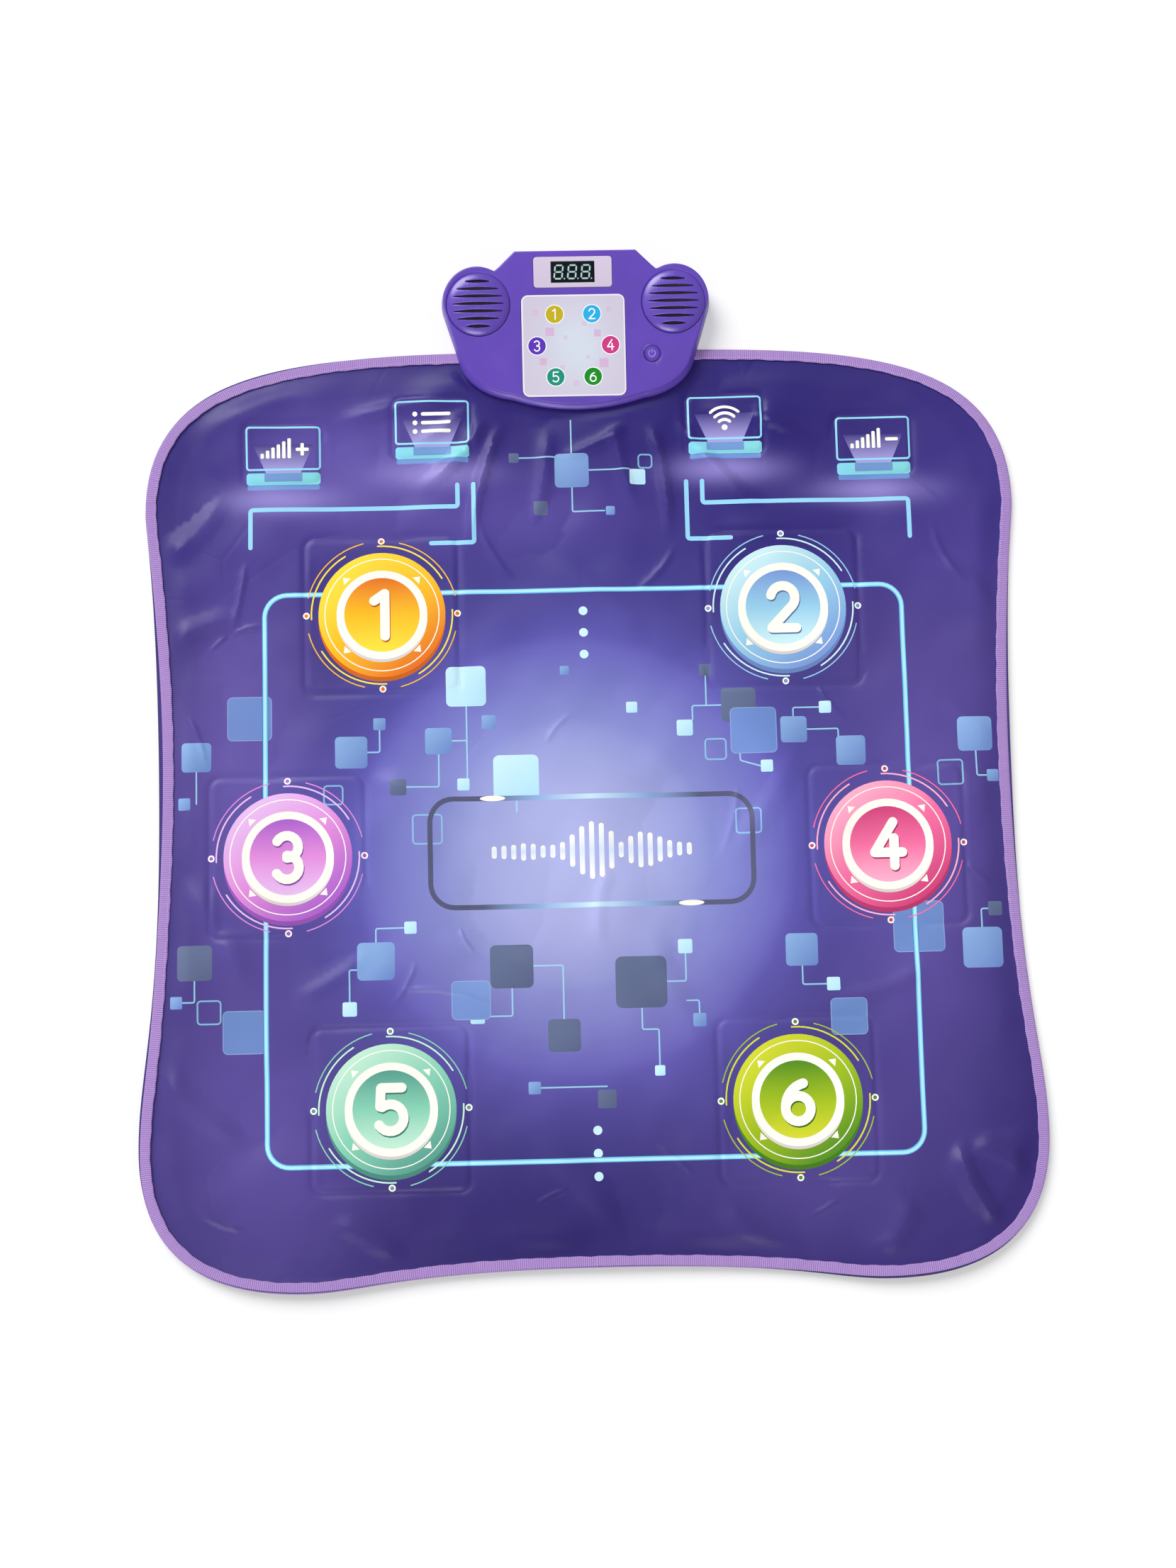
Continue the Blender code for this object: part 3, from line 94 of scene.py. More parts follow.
# Console
CONSOLE_Y, CONSOLE_REAR = 400.4 * MM, 560.1 * MM
FRONT_RADIUS, FRONT_HALF = 205 * MM, 66 * MM
CORNER_END, CORNER_HANDLES = (119.4 * MM, CONSOLE_Y + 52 * MM), ((22 * MM, 2.7 * MM), (5.4 * MM, 26 * MM))
EAR_CENTRE, EAR_RADIUS = (99.5 * MM, CONSOLE_Y + 109.3 * MM), 36 * MM
SHOULDER_X, SHOULDER_SLANT = 61.9 * MM, math.radians(44)
STILL_CENTRE = 60 * MM
CELL_BAND_Y = 530.5 * MM
DECK_Z, DECK_SLOPE = 14.0 * MM, math.radians(7.5)
PANEL_CENTRE, PANEL_SIZE = (-3.0 * MM, 63.0 * MM), (104.4 * MM, 102.5 * MM)
BEZEL_CENTRE, BEZEL_SIZE = (-2.6 * MM, 137.0 * MM), (79.0 * MM, 31.0 * MM)
DISPLAY_SIZE = (43.4 * MM, 21.0 * MM)
GRILLE_CENTRE = (98.2 * MM, 105.8 * MM)
BUTTON_CENTRE = (75.6 * MM, 53.7 * MM)

# Meshes: a box round the whole mat, and the spacing of the printed sheet's free points
MAT_BOX = (-0.45, -0.475), (0.45, 0.475)
GRID = 5.0 * MM
NO_POINTS = np.zeros((0, 2))

# Floor, light and camera
FLOOR_HALF, FLOOR_LEVEL, FLOOR_GLOW, AMBIENT = 4.0, -0.4 * MM, 0.2, 0.3
FRAME_HEIGHT, FOCAL_PIXELS, SENSOR = 2212, 3072, 36
CAMERA_PLACE, CAMERA_TURN = (-0.0487, -0.2602, 2.1359), (7.518, -1.146, -1.4)


def srgb(*channels):
    """sRGB channels from 0 to 255 as linear values: the low part over 12.92, the rest by the 2.4 power."""
    c = np.array(channels, float) / 255
    return np.where(c <= 0.04045, c / 12.92, ((c + 0.055) / 1.055) ** 2.4)


# Lines in the plane

def bezier(a, b, c, d, steps):
    """Cubic curve s^3 a + 3 s^2 t b + 3 s t^2 c + t^3 d with s = 1 - t, its end left out."""
    t = np.arange(steps)[:, None] / steps
    s = 1 - t
    a, b, c, d = (np.array(p) for p in (a, b, c, d))
    return s ** 3 * a + 3 * s * s * t * b + 3 * s * t * t * c + t ** 3 * d


def arc(centre, radius, first, last, steps):
    """Centre plus radius times (cosine, sine) of evenly spaced angles, in degrees, both ends in."""
    a = np.radians(np.linspace(first, last, steps + 1))
    return np.array(centre) + radius * np.stack([np.cos(a), np.sin(a)], 1)


def circle(centre, radius, steps=40):
    """Centre plus radius times (cosine, sine), once round."""
    return arc(centre, radius, 2, 362, steps)[:-1]


def rounded(centre, size, corner, steps=5):
    """Four quarter circles at the corners of a rectangle, counter-clockwise."""
    x, y = size[0] / 2 - corner, size[1] / 2 - corner
    spots = ((x, y, 0), (-x, y, 90), (-x, -y, 180), (x, -y, 270))
    return np.concatenate([arc(np.array(centre) + (a, b), corner, t, t + 90, steps) for a, b, t in spots])


def both_halves(right):
    """A whole outline from its right half, which runs from the bottom middle to the top middle."""
    return np.concatenate([right, (right[1:-1] * (-1, 1))[::-1]])


def mat_outline():
    """Cubic curves between the middle of the bottom, the foot, the widest points, the waist and the top."""
    foot, middle, top = (FOOT_X, MAT_BOTTOM_Y), (0.0, MAT_BOTTOM_Y + BOTTOM_ARCH), (0.0, MAT_TOP_Y)
    low, waist, high = LOWER_SIDE, WAIST, UPPER_SIDE
    right = [
        bezier(middle, (ARCH_HANDLE, middle[1]), (foot[0] - FOOT_HANDLES[0], foot[1]), foot, 30),
        bezier(foot, (foot[0] + FOOT_HANDLES[1], foot[1]), (low[0], low[1] - LOWER_HANDLES[0]), low, 30),
        bezier(low, (low[0], low[1] + LOWER_HANDLES[1]), (waist[0], WAIST_HANDLES[0]), waist, 30),
        bezier(waist, (waist[0], WAIST_HANDLES[1]), (high[0], high[1] - UPPER_HANDLES[0]), high, 30),
        bezier(high, (high[0], high[1] + UPPER_HANDLES[1]), (TOP_HANDLE, top[1]), top, 40),
        [top]]
    return both_halves(np.concatenate(right))


def console_outline(steps=4):
    """Front arc, cubic corner, straight side, ear circle, slanting shoulder and flat rear."""
    centre = np.array((0.0, CONSOLE_Y + FRONT_RADIUS))
    sweep = math.degrees(math.asin(FRONT_HALF / FRONT_RADIUS))
    right = [arc(centre, FRONT_RADIUS, -90, sweep - 90, 4 * steps)[:-1]]
    lip = centre + FRONT_RADIUS * np.array((math.sin(math.radians(sweep)), -math.cos(math.radians(sweep))))
    foot = np.array(CORNER_END)
    right.append(bezier(lip, lip + CORNER_HANDLES[0], foot - CORNER_HANDLES[1], foot, 6 * steps))
    ear, r = np.array(EAR_CENTRE), EAR_RADIUS
    side = ear - foot
    length = math.hypot(*side)
    heading = math.atan2(side[1], side[0]) - math.asin(r / length)
    touch = foot + math.sqrt(length ** 2 - r ** 2) * np.array((math.cos(heading), math.sin(heading)))
    corner = np.array((SHOULDER_X, CONSOLE_REAR))
    down = np.array((math.cos(SHOULDER_SLANT), -math.sin(SHOULDER_SLANT)))
    along = (ear - corner) @ down
    meet = corner + down * (along - math.sqrt(r ** 2 - ((ear - corner) @ (ear - corner) - along ** 2)))
    first, last = (math.degrees(math.atan2(*(p - ear)[::-1])) for p in (touch, meet))
    right += [[foot], arc(ear, r, first, last, 14 * steps), [corner], [(0.0, CONSOLE_REAR)]]
    return both_halves(np.concatenate(right))


def spaced(line, step):
    """A closed line again, its points evenly spaced along it."""
    closed = np.concatenate([line, line[:1]])
    along = np.concatenate([[0], np.cumsum(np.hypot(*np.diff(closed, axis=0).T))])
    at = np.linspace(0, along[-1], max(8, round(along[-1] / step)), endpoint=False)
    return np.stack([np.interp(at, along, closed[:, k]) for k in (0, 1)], 1)


def left_of(d):
    """Unit vectors a quarter turn to the left of each vector."""
    return np.stack([-d[:, 1], d[:, 0]], 1) / np.hypot(*d.T)[:, None]


def inwards(line):
    """Unit normals to the left of a closed line, from the chord between each point's neighbours."""
    return left_of(np.roll(line, -1, 0) - np.roll(line, 1, 0))


def inset(line, distance):
    """A closed line moved inwards, each corner along its mitre."""
    a, b = left_of(line - np.roll(line, 1, 0)), left_of(np.roll(line, -1, 0) - line)
    return line + (a + b) * (distance / (1 + (a * b).sum(1)))[:, None]


def away(points, line, closed=True):
    """Shortest distance from each point to a line, the least over its segments."""
    best = np.full(len(points), np.inf)
    ends = np.roll(line, -1, 0) if closed else line[1:]
    for a, b in zip(line, ends):
        d = b - a
        t = np.clip((points - a) @ d / max(d @ d, 1e-18), 0, 1)
        best = np.minimum(best, np.hypot(*(points - a - t[:, None] * d).T))
    return best


def inside(points, loop):
    """True where a ray to the right crosses the loop an odd number of times."""
    x, y = points.T
    found = np.zeros(len(points), bool)
    box = (x > loop[:, 0].min()) & (x < loop[:, 0].max()) & (y > loop[:, 1].min()) & (y < loop[:, 1].max())
    u, v = x[box], y[box]
    odd = np.zeros(len(u), bool)
    for (ax, ay), (bx, by) in zip(loop, np.roll(loop, -1, 0)):
        if ay != by:
            odd ^= ((ay > v) != (by > v)) & (u < ax + (bx - ax) * (v - ay) / (by - ay))
    found[box] = odd
    return found


def box_depth(points, centre, size, corner):
    """How far inside a rounded rectangle each point lies, negative outside."""
    q = np.abs(points - centre) - np.array(size) / 2 + corner
    return corner - np.hypot(*np.maximum(q, 0).T) - np.minimum(q.max(1), 0)


def ease(t):
    """Smooth step 3 t^2 - 2 t^3 between 0 and 1."""
    t = np.clip(t, 0, 1)
    return t * t * (3 - 2 * t)


def stroke(path, width, caps=8):
    """A line of even width with round ends: one side, a half circle, the other side back, a half circle."""
    path = np.array(path, float)
    d = np.gradient(path, axis=0)
    d /= np.hypot(*d.T)[:, None]
    side = np.stack([-d[:, 1], d[:, 0]], 1) * width / 2
    first, last = (math.degrees(math.atan2(*v[::-1])) for v in (d[0], d[-1]))
    end = arc(path[-1], width / 2, last - 90, last + 90, caps)[1:-1]
    start = arc(path[0], width / 2, first + 90, first + 270, caps)[1:-1]
    return np.concatenate([path - side, end, (path + side)[::-1], start])


def bent(points, corner=4 * MM, steps=5):
    """A path through points whose corners are rounded by quadratic curves."""
    points = np.array(points, float)
    path = [points[:1]]
    for a, b, c in zip(points, points[1:], points[2:]):
        start = b + (a - b) * corner / np.hypot(*(a - b))
        end = b + (c - b) * corner / np.hypot(*(c - b))
        t = np.linspace(0, 1, steps + 1)[:, None]
        path.append((1 - t) ** 2 * start + 2 * t * (1 - t) * b + t * t * end)
    path.append(points[-1:])
    return np.concatenate(path)


MAT_LINE = mat_outline()
CONSOLE_LINE = console_outline()


def zones():
    """Each pad's name, centre, window and corner."""
    found = [(f"step_{k + 1}", np.array(c) * MM, STEP_WINDOW, STEP_CORNER) for k, c in enumerate(STEPS)]
    return found + [(n, np.array(c) * MM, KEY_WINDOW, KEY_CORNER) for n, c in KEYS.items()]


def windows():
    """The outline of every pad's window in the sheet."""
    return [rounded(centre, size, corner) for _, centre, size, corner in zones()]


def in_any(points, loops):
    """True where a point lies in one of the loops at least."""
    return np.any([inside(points, loop) for loop in loops], axis=0)


def nearest(points, loops):
    """Distance from each point to the nearest of some loops."""
    return np.min([away(points, loop) for loop in loops], axis=0)


def rolled(distance, run, drop=None):
    """How far a rolled edge drops at each distance from it: a quarter circle, or an ellipse's with a drop."""
    q = 1 - np.clip(distance / run, 0, 1)
    return (run if drop is None else drop) * (1 - np.sqrt(np.maximum(1 - q * q, 0)))


# How the sheet lies

def along_fold(points, start, end, bow, *_):
    """Share of the way along a bowed line, and the distance across it in millimetres."""
    a, d = np.array(start) * MM, (np.array(end) - np.array(start)) * MM
    t = (points - a) @ d / (d @ d)
    across = ((points - a) @ np.array((-d[1], d[0])) / math.hypot(*d)) / MM
    return t, across - bow * 4 * t * (1 - t)


def fold(points, spec):
    """A ridge on a bowed line: a bell, sharpened near its crest by a tent, fading towards both ends."""
    width, height, sharp = spec[3:]
    fade_in, fade_out = 0.25, 0.4
    t, across = along_fold(points, *spec)
    near = (np.abs(across) < 3 * width) & (t > -0.05) & (t < 1.05)
    rise = np.zeros(len(points))
    t, q = t[near], np.abs(across[near]) / width
    shape = (1 - sharp) * np.exp(-q * q) + sharp * np.maximum(1 - q, 0)
    rise[near] = FOLD_HEIGHT * height * MM * shape * ease(t / fade_in) * ease((1 - t) / fade_out)
    return rise


def fold_lines(spec):
    """Lines along a fold at its crest and beside it, for the mesh to follow."""
    start, end, bow, width, _, sharp = spec
    a, d = np.array(start, float), np.array(end, float) - np.array(start)
    side = np.array((-d[1], d[0])) / math.hypot(*d)
    t = np.linspace(0.02, 0.98, max(4, int(math.hypot(*d) / 7)))[:, None]
    shares = (-1.0, -0.45, 0.0, 0.45, 1.0) if width < 9 else (-1.4, -0.7, 0.0, 0.7, 1.4)
    return [(a + d * t + side * (bow * 4 * t * (1 - t) + width * s)) * MM for s in shares]


def waves(points, seed, count, length, height):
    """Sum of sine waves in seeded directions, with wavelengths about the given one."""
    rng = np.random.default_rng(seed)
    total = np.zeros(len(points))
    for _ in range(count):
        angle, phase, scale = rng.uniform(0, math.pi), rng.uniform(0, 2 * math.pi), rng.uniform(0.7, 1.5)
        k = 2 * math.pi / (length * MM * scale)
        total += scale * np.sin(k * (points @ (math.cos(angle), math.sin(angle))) + phase)
    return height * MM * total / math.sqrt(count)


FOLDS = [
    # start, end, bow, width, height, sharpness of the crest: broad folds first, then fine creases
    ((-92, 396), (-168, 316), 8, 10, 2.6, 0.5), ((-76, 392), (-112, 250), -6, 8, 2.4, 0.5),
    ((-112, 404), (-172, 366), 4, 8, 2.4, 0.5), ((98, 396), (186, 296), -8, 9, 2.6, 0.5),
    ((72, 390), (88, 262), 6, 8, 2.2, 0.5), ((116, 402), (246, 366), 5, 9, 2.4, 0.5),
    ((-122, 410), (-250, 392), -5, 9, 2.0, 0.4), ((-30, 388), (-52, 262), 4, 9, 1.6, 0.3),
    ((36, 388), (60, 290), -4, 8, 1.8, 0.4), ((52, 386), (-24, 352), 5, 7, 1.6, 0.4),
    ((350, -332), (398, -424), -10, 12, 3.3, 0.45), ((362, -338), (424, -372), 6, 13, 2.0, 0.3),
    ((306, -388), (262, -450), 6, 14, 1.8, 0.3), ((-420, 160), (-330, 196), 8, 14, 2.0, 0.3),
    ((-420, 250), (-352, 330), -8, 16, 2.0, 0.3), ((-402, -60), (-330, -196), 10, 16, 2.0, 0.3),
    ((-426, -236), (-322, -326), -12, 15, 2.2, 0.4), ((-262, -396), (-176, -452), 8, 13, 1.8, 0.4),
    ((-66, -322), (36, -448), 14, 16, 1.8, 0.2), ((112, -388), (216, -440), -8, 13, 1.6, 0.3),
    ((424, 186), (330, 240), -8, 14, 1.8, 0.4), ((420, 56), (352, 100), 6, 12, 1.5, 0.4),
    ((-128, 140), (26, 56), 14, 18, 1.5, 0.2), ((66, 152), (-44, 252), -10, 16, 1.4, 0.2),
    ((-156, -126), (-4, -196), 10, 16, 1.5, 0.2), ((56, -112), (136, -276), -12, 16, 1.6, 0.2),
    ((-218, 34), (-108, -24), 8, 13, 1.2, 0.3), ((214, 66), (120, -76), 10, 15, 1.4, 0.3),
    ((-292, -186), (-212, -136), -6, 10, 1.1, 0.4), ((332, -166), (226, -196), 8, 11, 1.2, 0.4),
    ((-334, 252), (-350, 176), 2, 5, 0.9, 0.8), ((-350, 176), (-318, 186), 2, 4, 0.8, 0.8),
    ((-352, 178), (-372, 160), 0, 4, 0.7, 0.8), ((-40, 60), (-10, 92), 4, 4, 0.7, 0.8),
    ((-128, -118), (-112, -146), -2, 3, 0.6, 0.9), ((-190, -178), (-92, -196), 7, 4, 0.9, 0.8),
    ((-170, -150), (-196, -196), 3, 4, 0.7, 0.8), ((22, -60), (12, -150), -8, 9, 1.1, 0.4),
    ((150, 20), (128, -60), 4, 5, 0.7, 0.7), ((52, 212), (96, 262), -5, 5, 0.8, 0.7),
    ((-66, 226), (-104, 296), 6, 5, 0.8, 0.7), ((362, 300), (318, 330), -3, 4, 0.7, 0.8),
    ((386, 214), (352, 282), 6, 5, 0.8, 0.7), ((-392, 96), (-374, 44), 3, 4, 0.7, 0.8),
    ((-336, -404), (-388, -380), 4, 5, 0.9, 0.7), ((56, -332), (96, -366), 3, 4, 0.7, 0.8),
    ((204, -404), (236, -386), -2, 4, 0.6, 0.8), ((-60, -388), (-24, -372), 2, 4, 0.6, 0.8),
    ((352, -60), (398, -92), 4, 5, 0.8, 0.7), ((232, 116), (262, 78), -4, 4, 0.7, 0.8),
]
CURLS = [
    # x, y, reach, height of the edge off the floor
    (-430, 130, 150, 3.4), (-442, -320, 120, 5.0), (-300, -468, 150, 8.4),
    (20, -450, 180, 7.0), (330, -462, 120, 7.4), (444, -300, 110, 4.4),
    (426, 60, 150, 3.2), (402, 380, 100, 3.6), (-400, 392, 90, 3.2),
]


def bell(points, centre, size):
    """A bell of height one whose two radii are the size, everything but the points in millimetres."""
    q = (points - np.array(centre) * MM) / (np.array(size) * MM)
    return np.exp(-(q ** 2).sum(1))


def from_console(points):
    """Distance from a point under the console, round which the mat lies still."""
    return np.hypot(points[:, 0], points[:, 1] - CONSOLE_Y - STILL_CENTRE)


def lie(points, inset_of_edge=None):
    """How far the whole mat stands off the floor: bells at the curled places, falling to nothing inwards."""
    d = away(points, MAT_LINE) if inset_of_edge is None else inset_of_edge
    share = np.clip(1 - d / CURL_REACH, 0, 1) ** CURL_POWER
    lift = sum(height * MM * bell(points, (x, y), (reach, reach)) for x, y, reach, height in CURLS)
    return lift * share * ease((from_console(points) - 150 * MM) / (80 * MM))


def flat_height(d):
    """The mat's own section: the rim's height at the tape, easing up to the full thickness further in."""
    t = np.clip((d - RIM_WIDTH) / (FULL_WIDTH - RIM_WIDTH), 0, 1)
    return RIM_TOP + (MAT_THICKNESS - RIM_TOP) * ease(t ** 0.8)


def sheet_height(points):
    """The flat section plus waves, folds and a groove round every pad, fading at the tape and the console."""
    d = away(points, MAT_LINE)
    lift = waves(points, seed=3, count=9, length=150, height=2.0)
    lift += waves(points, seed=11, count=12, length=60, height=0.5)
    for spec in FOLDS:
        lift += fold(points, spec)
    quiet = ease((d - RIM_WIDTH) / SETTLE_WIDTH)
    near = from_console(points) < 260 * MM
    under = away(points[near], CONSOLE_LINE)
    under[inside(points[near], CONSOLE_LINE)] = 0
    quiet[near] *= ease((under - 1 * MM) / (10 * MM))
    for _, centre, size, corner in zones():
        depth = box_depth(points, centre, size, corner)
        quiet *= 1 - 0.5 * ease((depth + 4 * MM) / (16 * MM))
        lift -= PAD_GROOVE * np.exp(-((depth + 1.0 * MM) / (3.2 * MM)) ** 2)
        lift += PAD_RISE * ease((depth + 1 * MM) / (8 * MM))
    return flat_height(d) + np.clip(lift, LOWEST, HIGHEST) * quiet + lie(points, d)


# Bodies over a plan

def dense(line, closed, step=9 * MM):
    """Points added on the long segments of a line, so that no triangle beside it is long and thin."""
    line = np.asarray(line, float)
    following = np.roll(line, -1, 0) if closed else line[1:]
    start = line if closed else line[:-1]
    parts = np.maximum(1, np.ceil(np.hypot(*(following - start).T) / step)).astype(int)
    if parts.max() == 1:
        return line
    which = np.repeat(np.arange(len(start)), parts)
    t = (np.arange(len(which)) - np.repeat(np.cumsum(parts) - parts, parts)) / parts[which]
    made = start[which] + (following - start)[which] * t[:, None]
    return made if closed else np.concatenate([made, line[-1:]])


def plan(loops, free, keep, thin=0.6 * MM, creases=()):
    """Triangles that follow every loop and crease: constrained Delaunay, then those whose middle is kept.
    Free points nearer than about twice the thin distance to a line are left out."""
    followed = [dense(l, True) for l in loops] + [dense(l, False) for l in creases]
    lines = np.concatenate(followed)
    edges, at = [], 0
    for k, l in enumerate(followed):
        n = len(l)
        edges += [(at + i, at + (i + 1) % n) for i in range(n if k < len(loops) else n - 1)]
        at += n
    if len(free):
        cell = {tuple(c) for c in np.round(lines / (2 * thin)).astype(int).tolist()}
        near = np.array([tuple(c) in cell for c in np.round(free / (2 * thin)).astype(int).tolist()])
        lines = np.concatenate([lines, free[~near]])
    found = delaunay_2d_cdt([Vector(p) for p in lines.tolist()], edges, [], 0, 1e-7, False)
    points = np.array([tuple(p) for p in found[0]])
    triangles = np.array(found[2], int)
    a, b, c = (points[triangles[:, k]] for k in range(3))
    area = np.cross(b - a, c - a)
    triangles[area < 0] = triangles[area < 0][:, ::-1]
    middle = (a + b + c) / 3
    triangles = triangles[(np.abs(area) > 1e-13) & keep(middle)]
    used, triangles = np.unique(triangles, return_inverse=True)
    return points[used], triangles.reshape(-1, 3)


def lattice(low, high, step):
    """Points of a square grid, every second row moved by half a step."""
    x, y = np.meshgrid(np.arange(low[0], high[0], step), np.arange(low[1], high[1], step * 0.87))
    x[1::2] += step / 2
    return np.stack([x.ravel(), y.ravel()], 1)


def plan_area(points, triangles):
    """The area of all the triangles together."""
    a, b, c = (points[triangles[:, k]] for k in range(3))
    return float(np.abs(np.cross(b - a, c - a)).sum() / 2)


def rim_edges(triangles):
    """The directed edges that only one triangle uses."""
    edges = np.concatenate([triangles[:, [0, 1]], triangles[:, [1, 2]], triangles[:, [2, 0]]])
    key = np.sort(edges, 1)
    _, first, count = np.unique(key, axis=0, return_index=True, return_counts=True)
    return edges[first[count == 1]]


def on_deck(points, heights):
    """Points measured along the deck's slope and square to it, as points in the frame."""
    c, s = math.cos(DECK_SLOPE), math.sin(DECK_SLOPE)
    y = CONSOLE_Y + points[:, 1] * c - heights * s
    z = DECK_Z + points[:, 1] * s + heights * c
    return np.stack([points[:, 0], y, z], 1)


def upright(points, heights):
    """Points and the heights straight above them."""
    return np.concatenate([points, heights[:, None]], 1)


def add_object(name, corners, faces, finish, smooth=35, colours=None, normals=None):
    """A mesh object in a finish, shaded smooth but for edges sharper than an angle."""
    mesh = bpy.data.meshes.new(name)
    mesh.from_pydata(corners.tolist(), [], faces)
    mesh.shade_smooth()
    if smooth:
        mesh.set_sharp_from_angle(angle=math.radians(smooth))
    if colours is not None:
        layer = mesh.color_attributes.new("print", "FLOAT_COLOR", "CORNER")
        opaque = np.concatenate([colours, np.ones((len(colours), 1))], 1)
        layer.data.foreach_set("color", opaque.astype(np.float32).ravel())
    if normals is not None:
        mesh.normals_split_custom_set_from_vertices(normals.tolist())
    mesh.materials.append(finish)
    obj = bpy.data.objects.new(name, mesh)
    bpy.context.scene.collection.objects.link(obj)
    return obj


def shell(name, points, triangles, top, bottom, finish, place=upright, paint=None, normals=None, smooth=35):
    """A closed body over a plan: top and bottom surfaces at given heights, and walls along each free edge."""
    n = len(points)
    corners = np.concatenate([place(points, top), place(points, bottom)])
    i, j = rim_edges(triangles).T
    walls = np.stack([i, i + n, j + n, j], 1)
    faces = triangles.tolist() + (triangles[:, ::-1] + n).tolist() + walls.tolist()
    colours = None
    if paint is not None:
        upper = paint(points, triangles)
        lower = upper.reshape(-1, 3, 3)[:, ::-1].reshape(-1, 3)
        around = np.tile(upper.mean(0), (4 * len(walls), 1))
        colours = np.concatenate([upper, lower, around])
    if normals is not None:
        normals = np.concatenate([normals, -normals])
    return add_object(name, corners, faces, finish, smooth, colours, normals)


def sheet_normals(points):
    """Square to the sheet: minus its slopes by differences over a short step, and one."""
    step, here = 0.4 * MM, sheet_height(points)
    slope = [(sheet_height(points + s) - here) / step for s in ((step, 0), (0, step))]
    normal = np.stack([-slope[0], -slope[1], np.ones(len(points))], 1)
    return normal / np.linalg.norm(normal, axis=1)[:, None]


# The print

CREAM, ICE, SKY, SLATE = srgb(252, 249, 240), srgb(206, 240, 251), srgb(160, 195, 236), srgb(101, 115, 149)
CYAN, TEAL, LINE = srgb(150, 218, 244), srgb(132, 214, 222), srgb(165, 228, 246)
ZONE_COLOURS = [
    # light, middle, deep
    ((255, 226, 60), (250, 190, 30), (232, 112, 24)), ((206, 240, 244), (150, 205, 232), (118, 150, 214)),
    ((232, 190, 240), (222, 138, 216), (168, 92, 200)), ((252, 176, 204), (242, 110, 160), (206, 62, 120)),
    ((196, 238, 214), (134, 208, 180), (84, 156, 140)), ((214, 218, 46), (158, 188, 26), (78, 140, 28)),
]
LIGHTER_PLACES = [
    # middle, radii, share
    ((-325, -315), (130, 170), 0.62), ((-340, 55), (80, 200), 0.88), ((320, -50), (90, 300), 0.72),
    ((185, -360), (100, 85), 0.42), ((-75, 295), (155, 50), 0.52), ((390, 215), (60, 185), 0.2),
    ((-245, 355), (100, 74), 0.7),
]
LIGHT_STEPS = [
    # from and to which share of the middle's light, and the colour reached
    (0.0, 0.35, (96, 90, 180)), (0.3, 0.75, (138, 145, 210)), (0.7, 1.0, (172, 177, 227)),
]
WARMTH = np.array((-0.5, 0.1, 0.5))


def ground(points):
    """Dark violet, lighter by a few wide bells, under a plateau of light in the middle."""
    x, y = points.T / MM
    dark, lighter = srgb(42, 30, 102), srgb(104, 87, 170)
    blue, under_key = srgb(0, 0, 52), srgb(150, 138, 212)
    places = sum(share * bell(points, centre, size) for centre, size, share in LIGHTER_PLACES)
    colour = dark + (lighter - dark) * np.clip(places, 0, 1.05)[:, None]
    colour = colour + blue * ease((y - 140) / 120)[:, None]
    radius = 205
    light = np.exp(-(np.hypot((x + 15) / radius, (y + 50) / radius)) ** 2.5)
    warm = ease((-y - 40) / 200)[:, None]
    for low, high, tint in LIGHT_STEPS:
        share = np.clip((light - low) / (high - low), 0, 1)[:, None]
        colour = colour + (srgb(*tint) * (1 - 0.1 * warm * WARMTH) - colour) * share
    for cx, cy in KEYS.values():
        share = 0.85 * bell(points, (cx, cy - 47), (52, 14))[:, None]
        colour = colour + (under_key - colour) * share
    return colour


def flat(colour):
    """One colour everywhere."""
    return lambda p: np.tile(colour, (len(p), 1))


def fade(start, end, *stops):
    """Colours blended along the line from start to end, the stops evenly spaced."""
    a, d = np.array(start), np.array(end) - np.array(start)
    stops = np.array(stops)

    def colour(p):
        t = np.clip((p - a) @ d / (d @ d), 0, 1)
        return np.stack([np.interp(t, np.linspace(0, 1, len(stops)), stops[:, k]) for k in range(3)], 1)
    return colour


def veil(colour, share, under=ground):
    """What lies under it seen through a colour."""
    return lambda p: under(p) * (1 - share) + colour * share


GLYPHS = {
    # strokes on a field one high, its middle at the origin
    1: [[(-0.17, 0.30), (0.06, 0.46)],
        [(0.06, 0.46), (0.06, -0.46)]],
    2: [np.concatenate([arc((0, 0.2), 0.26, 168, -38, 14), [(-0.25, -0.44)]]),
        [(-0.25, -0.45), (0.27, -0.45)]],
    3: [arc((-0.02, 0.215), 0.235, 150, -90, 14),
        arc((-0.02, -0.215), 0.25, 90, -150, 14)],
    4: [[(0.12, 0.46), (-0.28, -0.17)],
        [(-0.28, -0.18), (0.3, -0.18)],
        [(0.13, 0.12), (0.13, -0.46)]],
    5: [[(-0.2, 0.44), (0.22, 0.44)],
        [(-0.21, 0.43), (-0.23, 0.06)],
        arc((-0.02, -0.17), 0.275, 128, -148, 16)],
    6: [arc((0.24, -0.16), 0.5, 104, 182, 8),
        arc((0, -0.19), 0.26, 0, 180, 14),
        arc((0, -0.19), 0.26, 180, 360, 14)],
}


def digit(number, centre, height, width):
    """Outlines of a digit's strokes."""
    return [stroke(np.array(centre) + np.array(path) * height, width) for path in GLYPHS[number]]


def ring(centre, outer, inner, steps=56):
    """The outlines of a ring."""
    return [circle(centre, outer, steps), circle(centre, inner, steps)]


def frame_line(centre, size, corner, width, steps=6):
    """The outer and inner outlines of a line of even width round a rectangle with round corners."""
    within = (size[0] - 2 * width, size[1] - 2 * width)
    return [rounded(centre, size, corner, steps), rounded(centre, within, corner - width, steps)]


def arc_band(centre, radius, width, first, last, steps=12):
    """A line of even width along an arc, with round ends."""
    return stroke(arc(centre, radius, first, last, steps), width, 6)


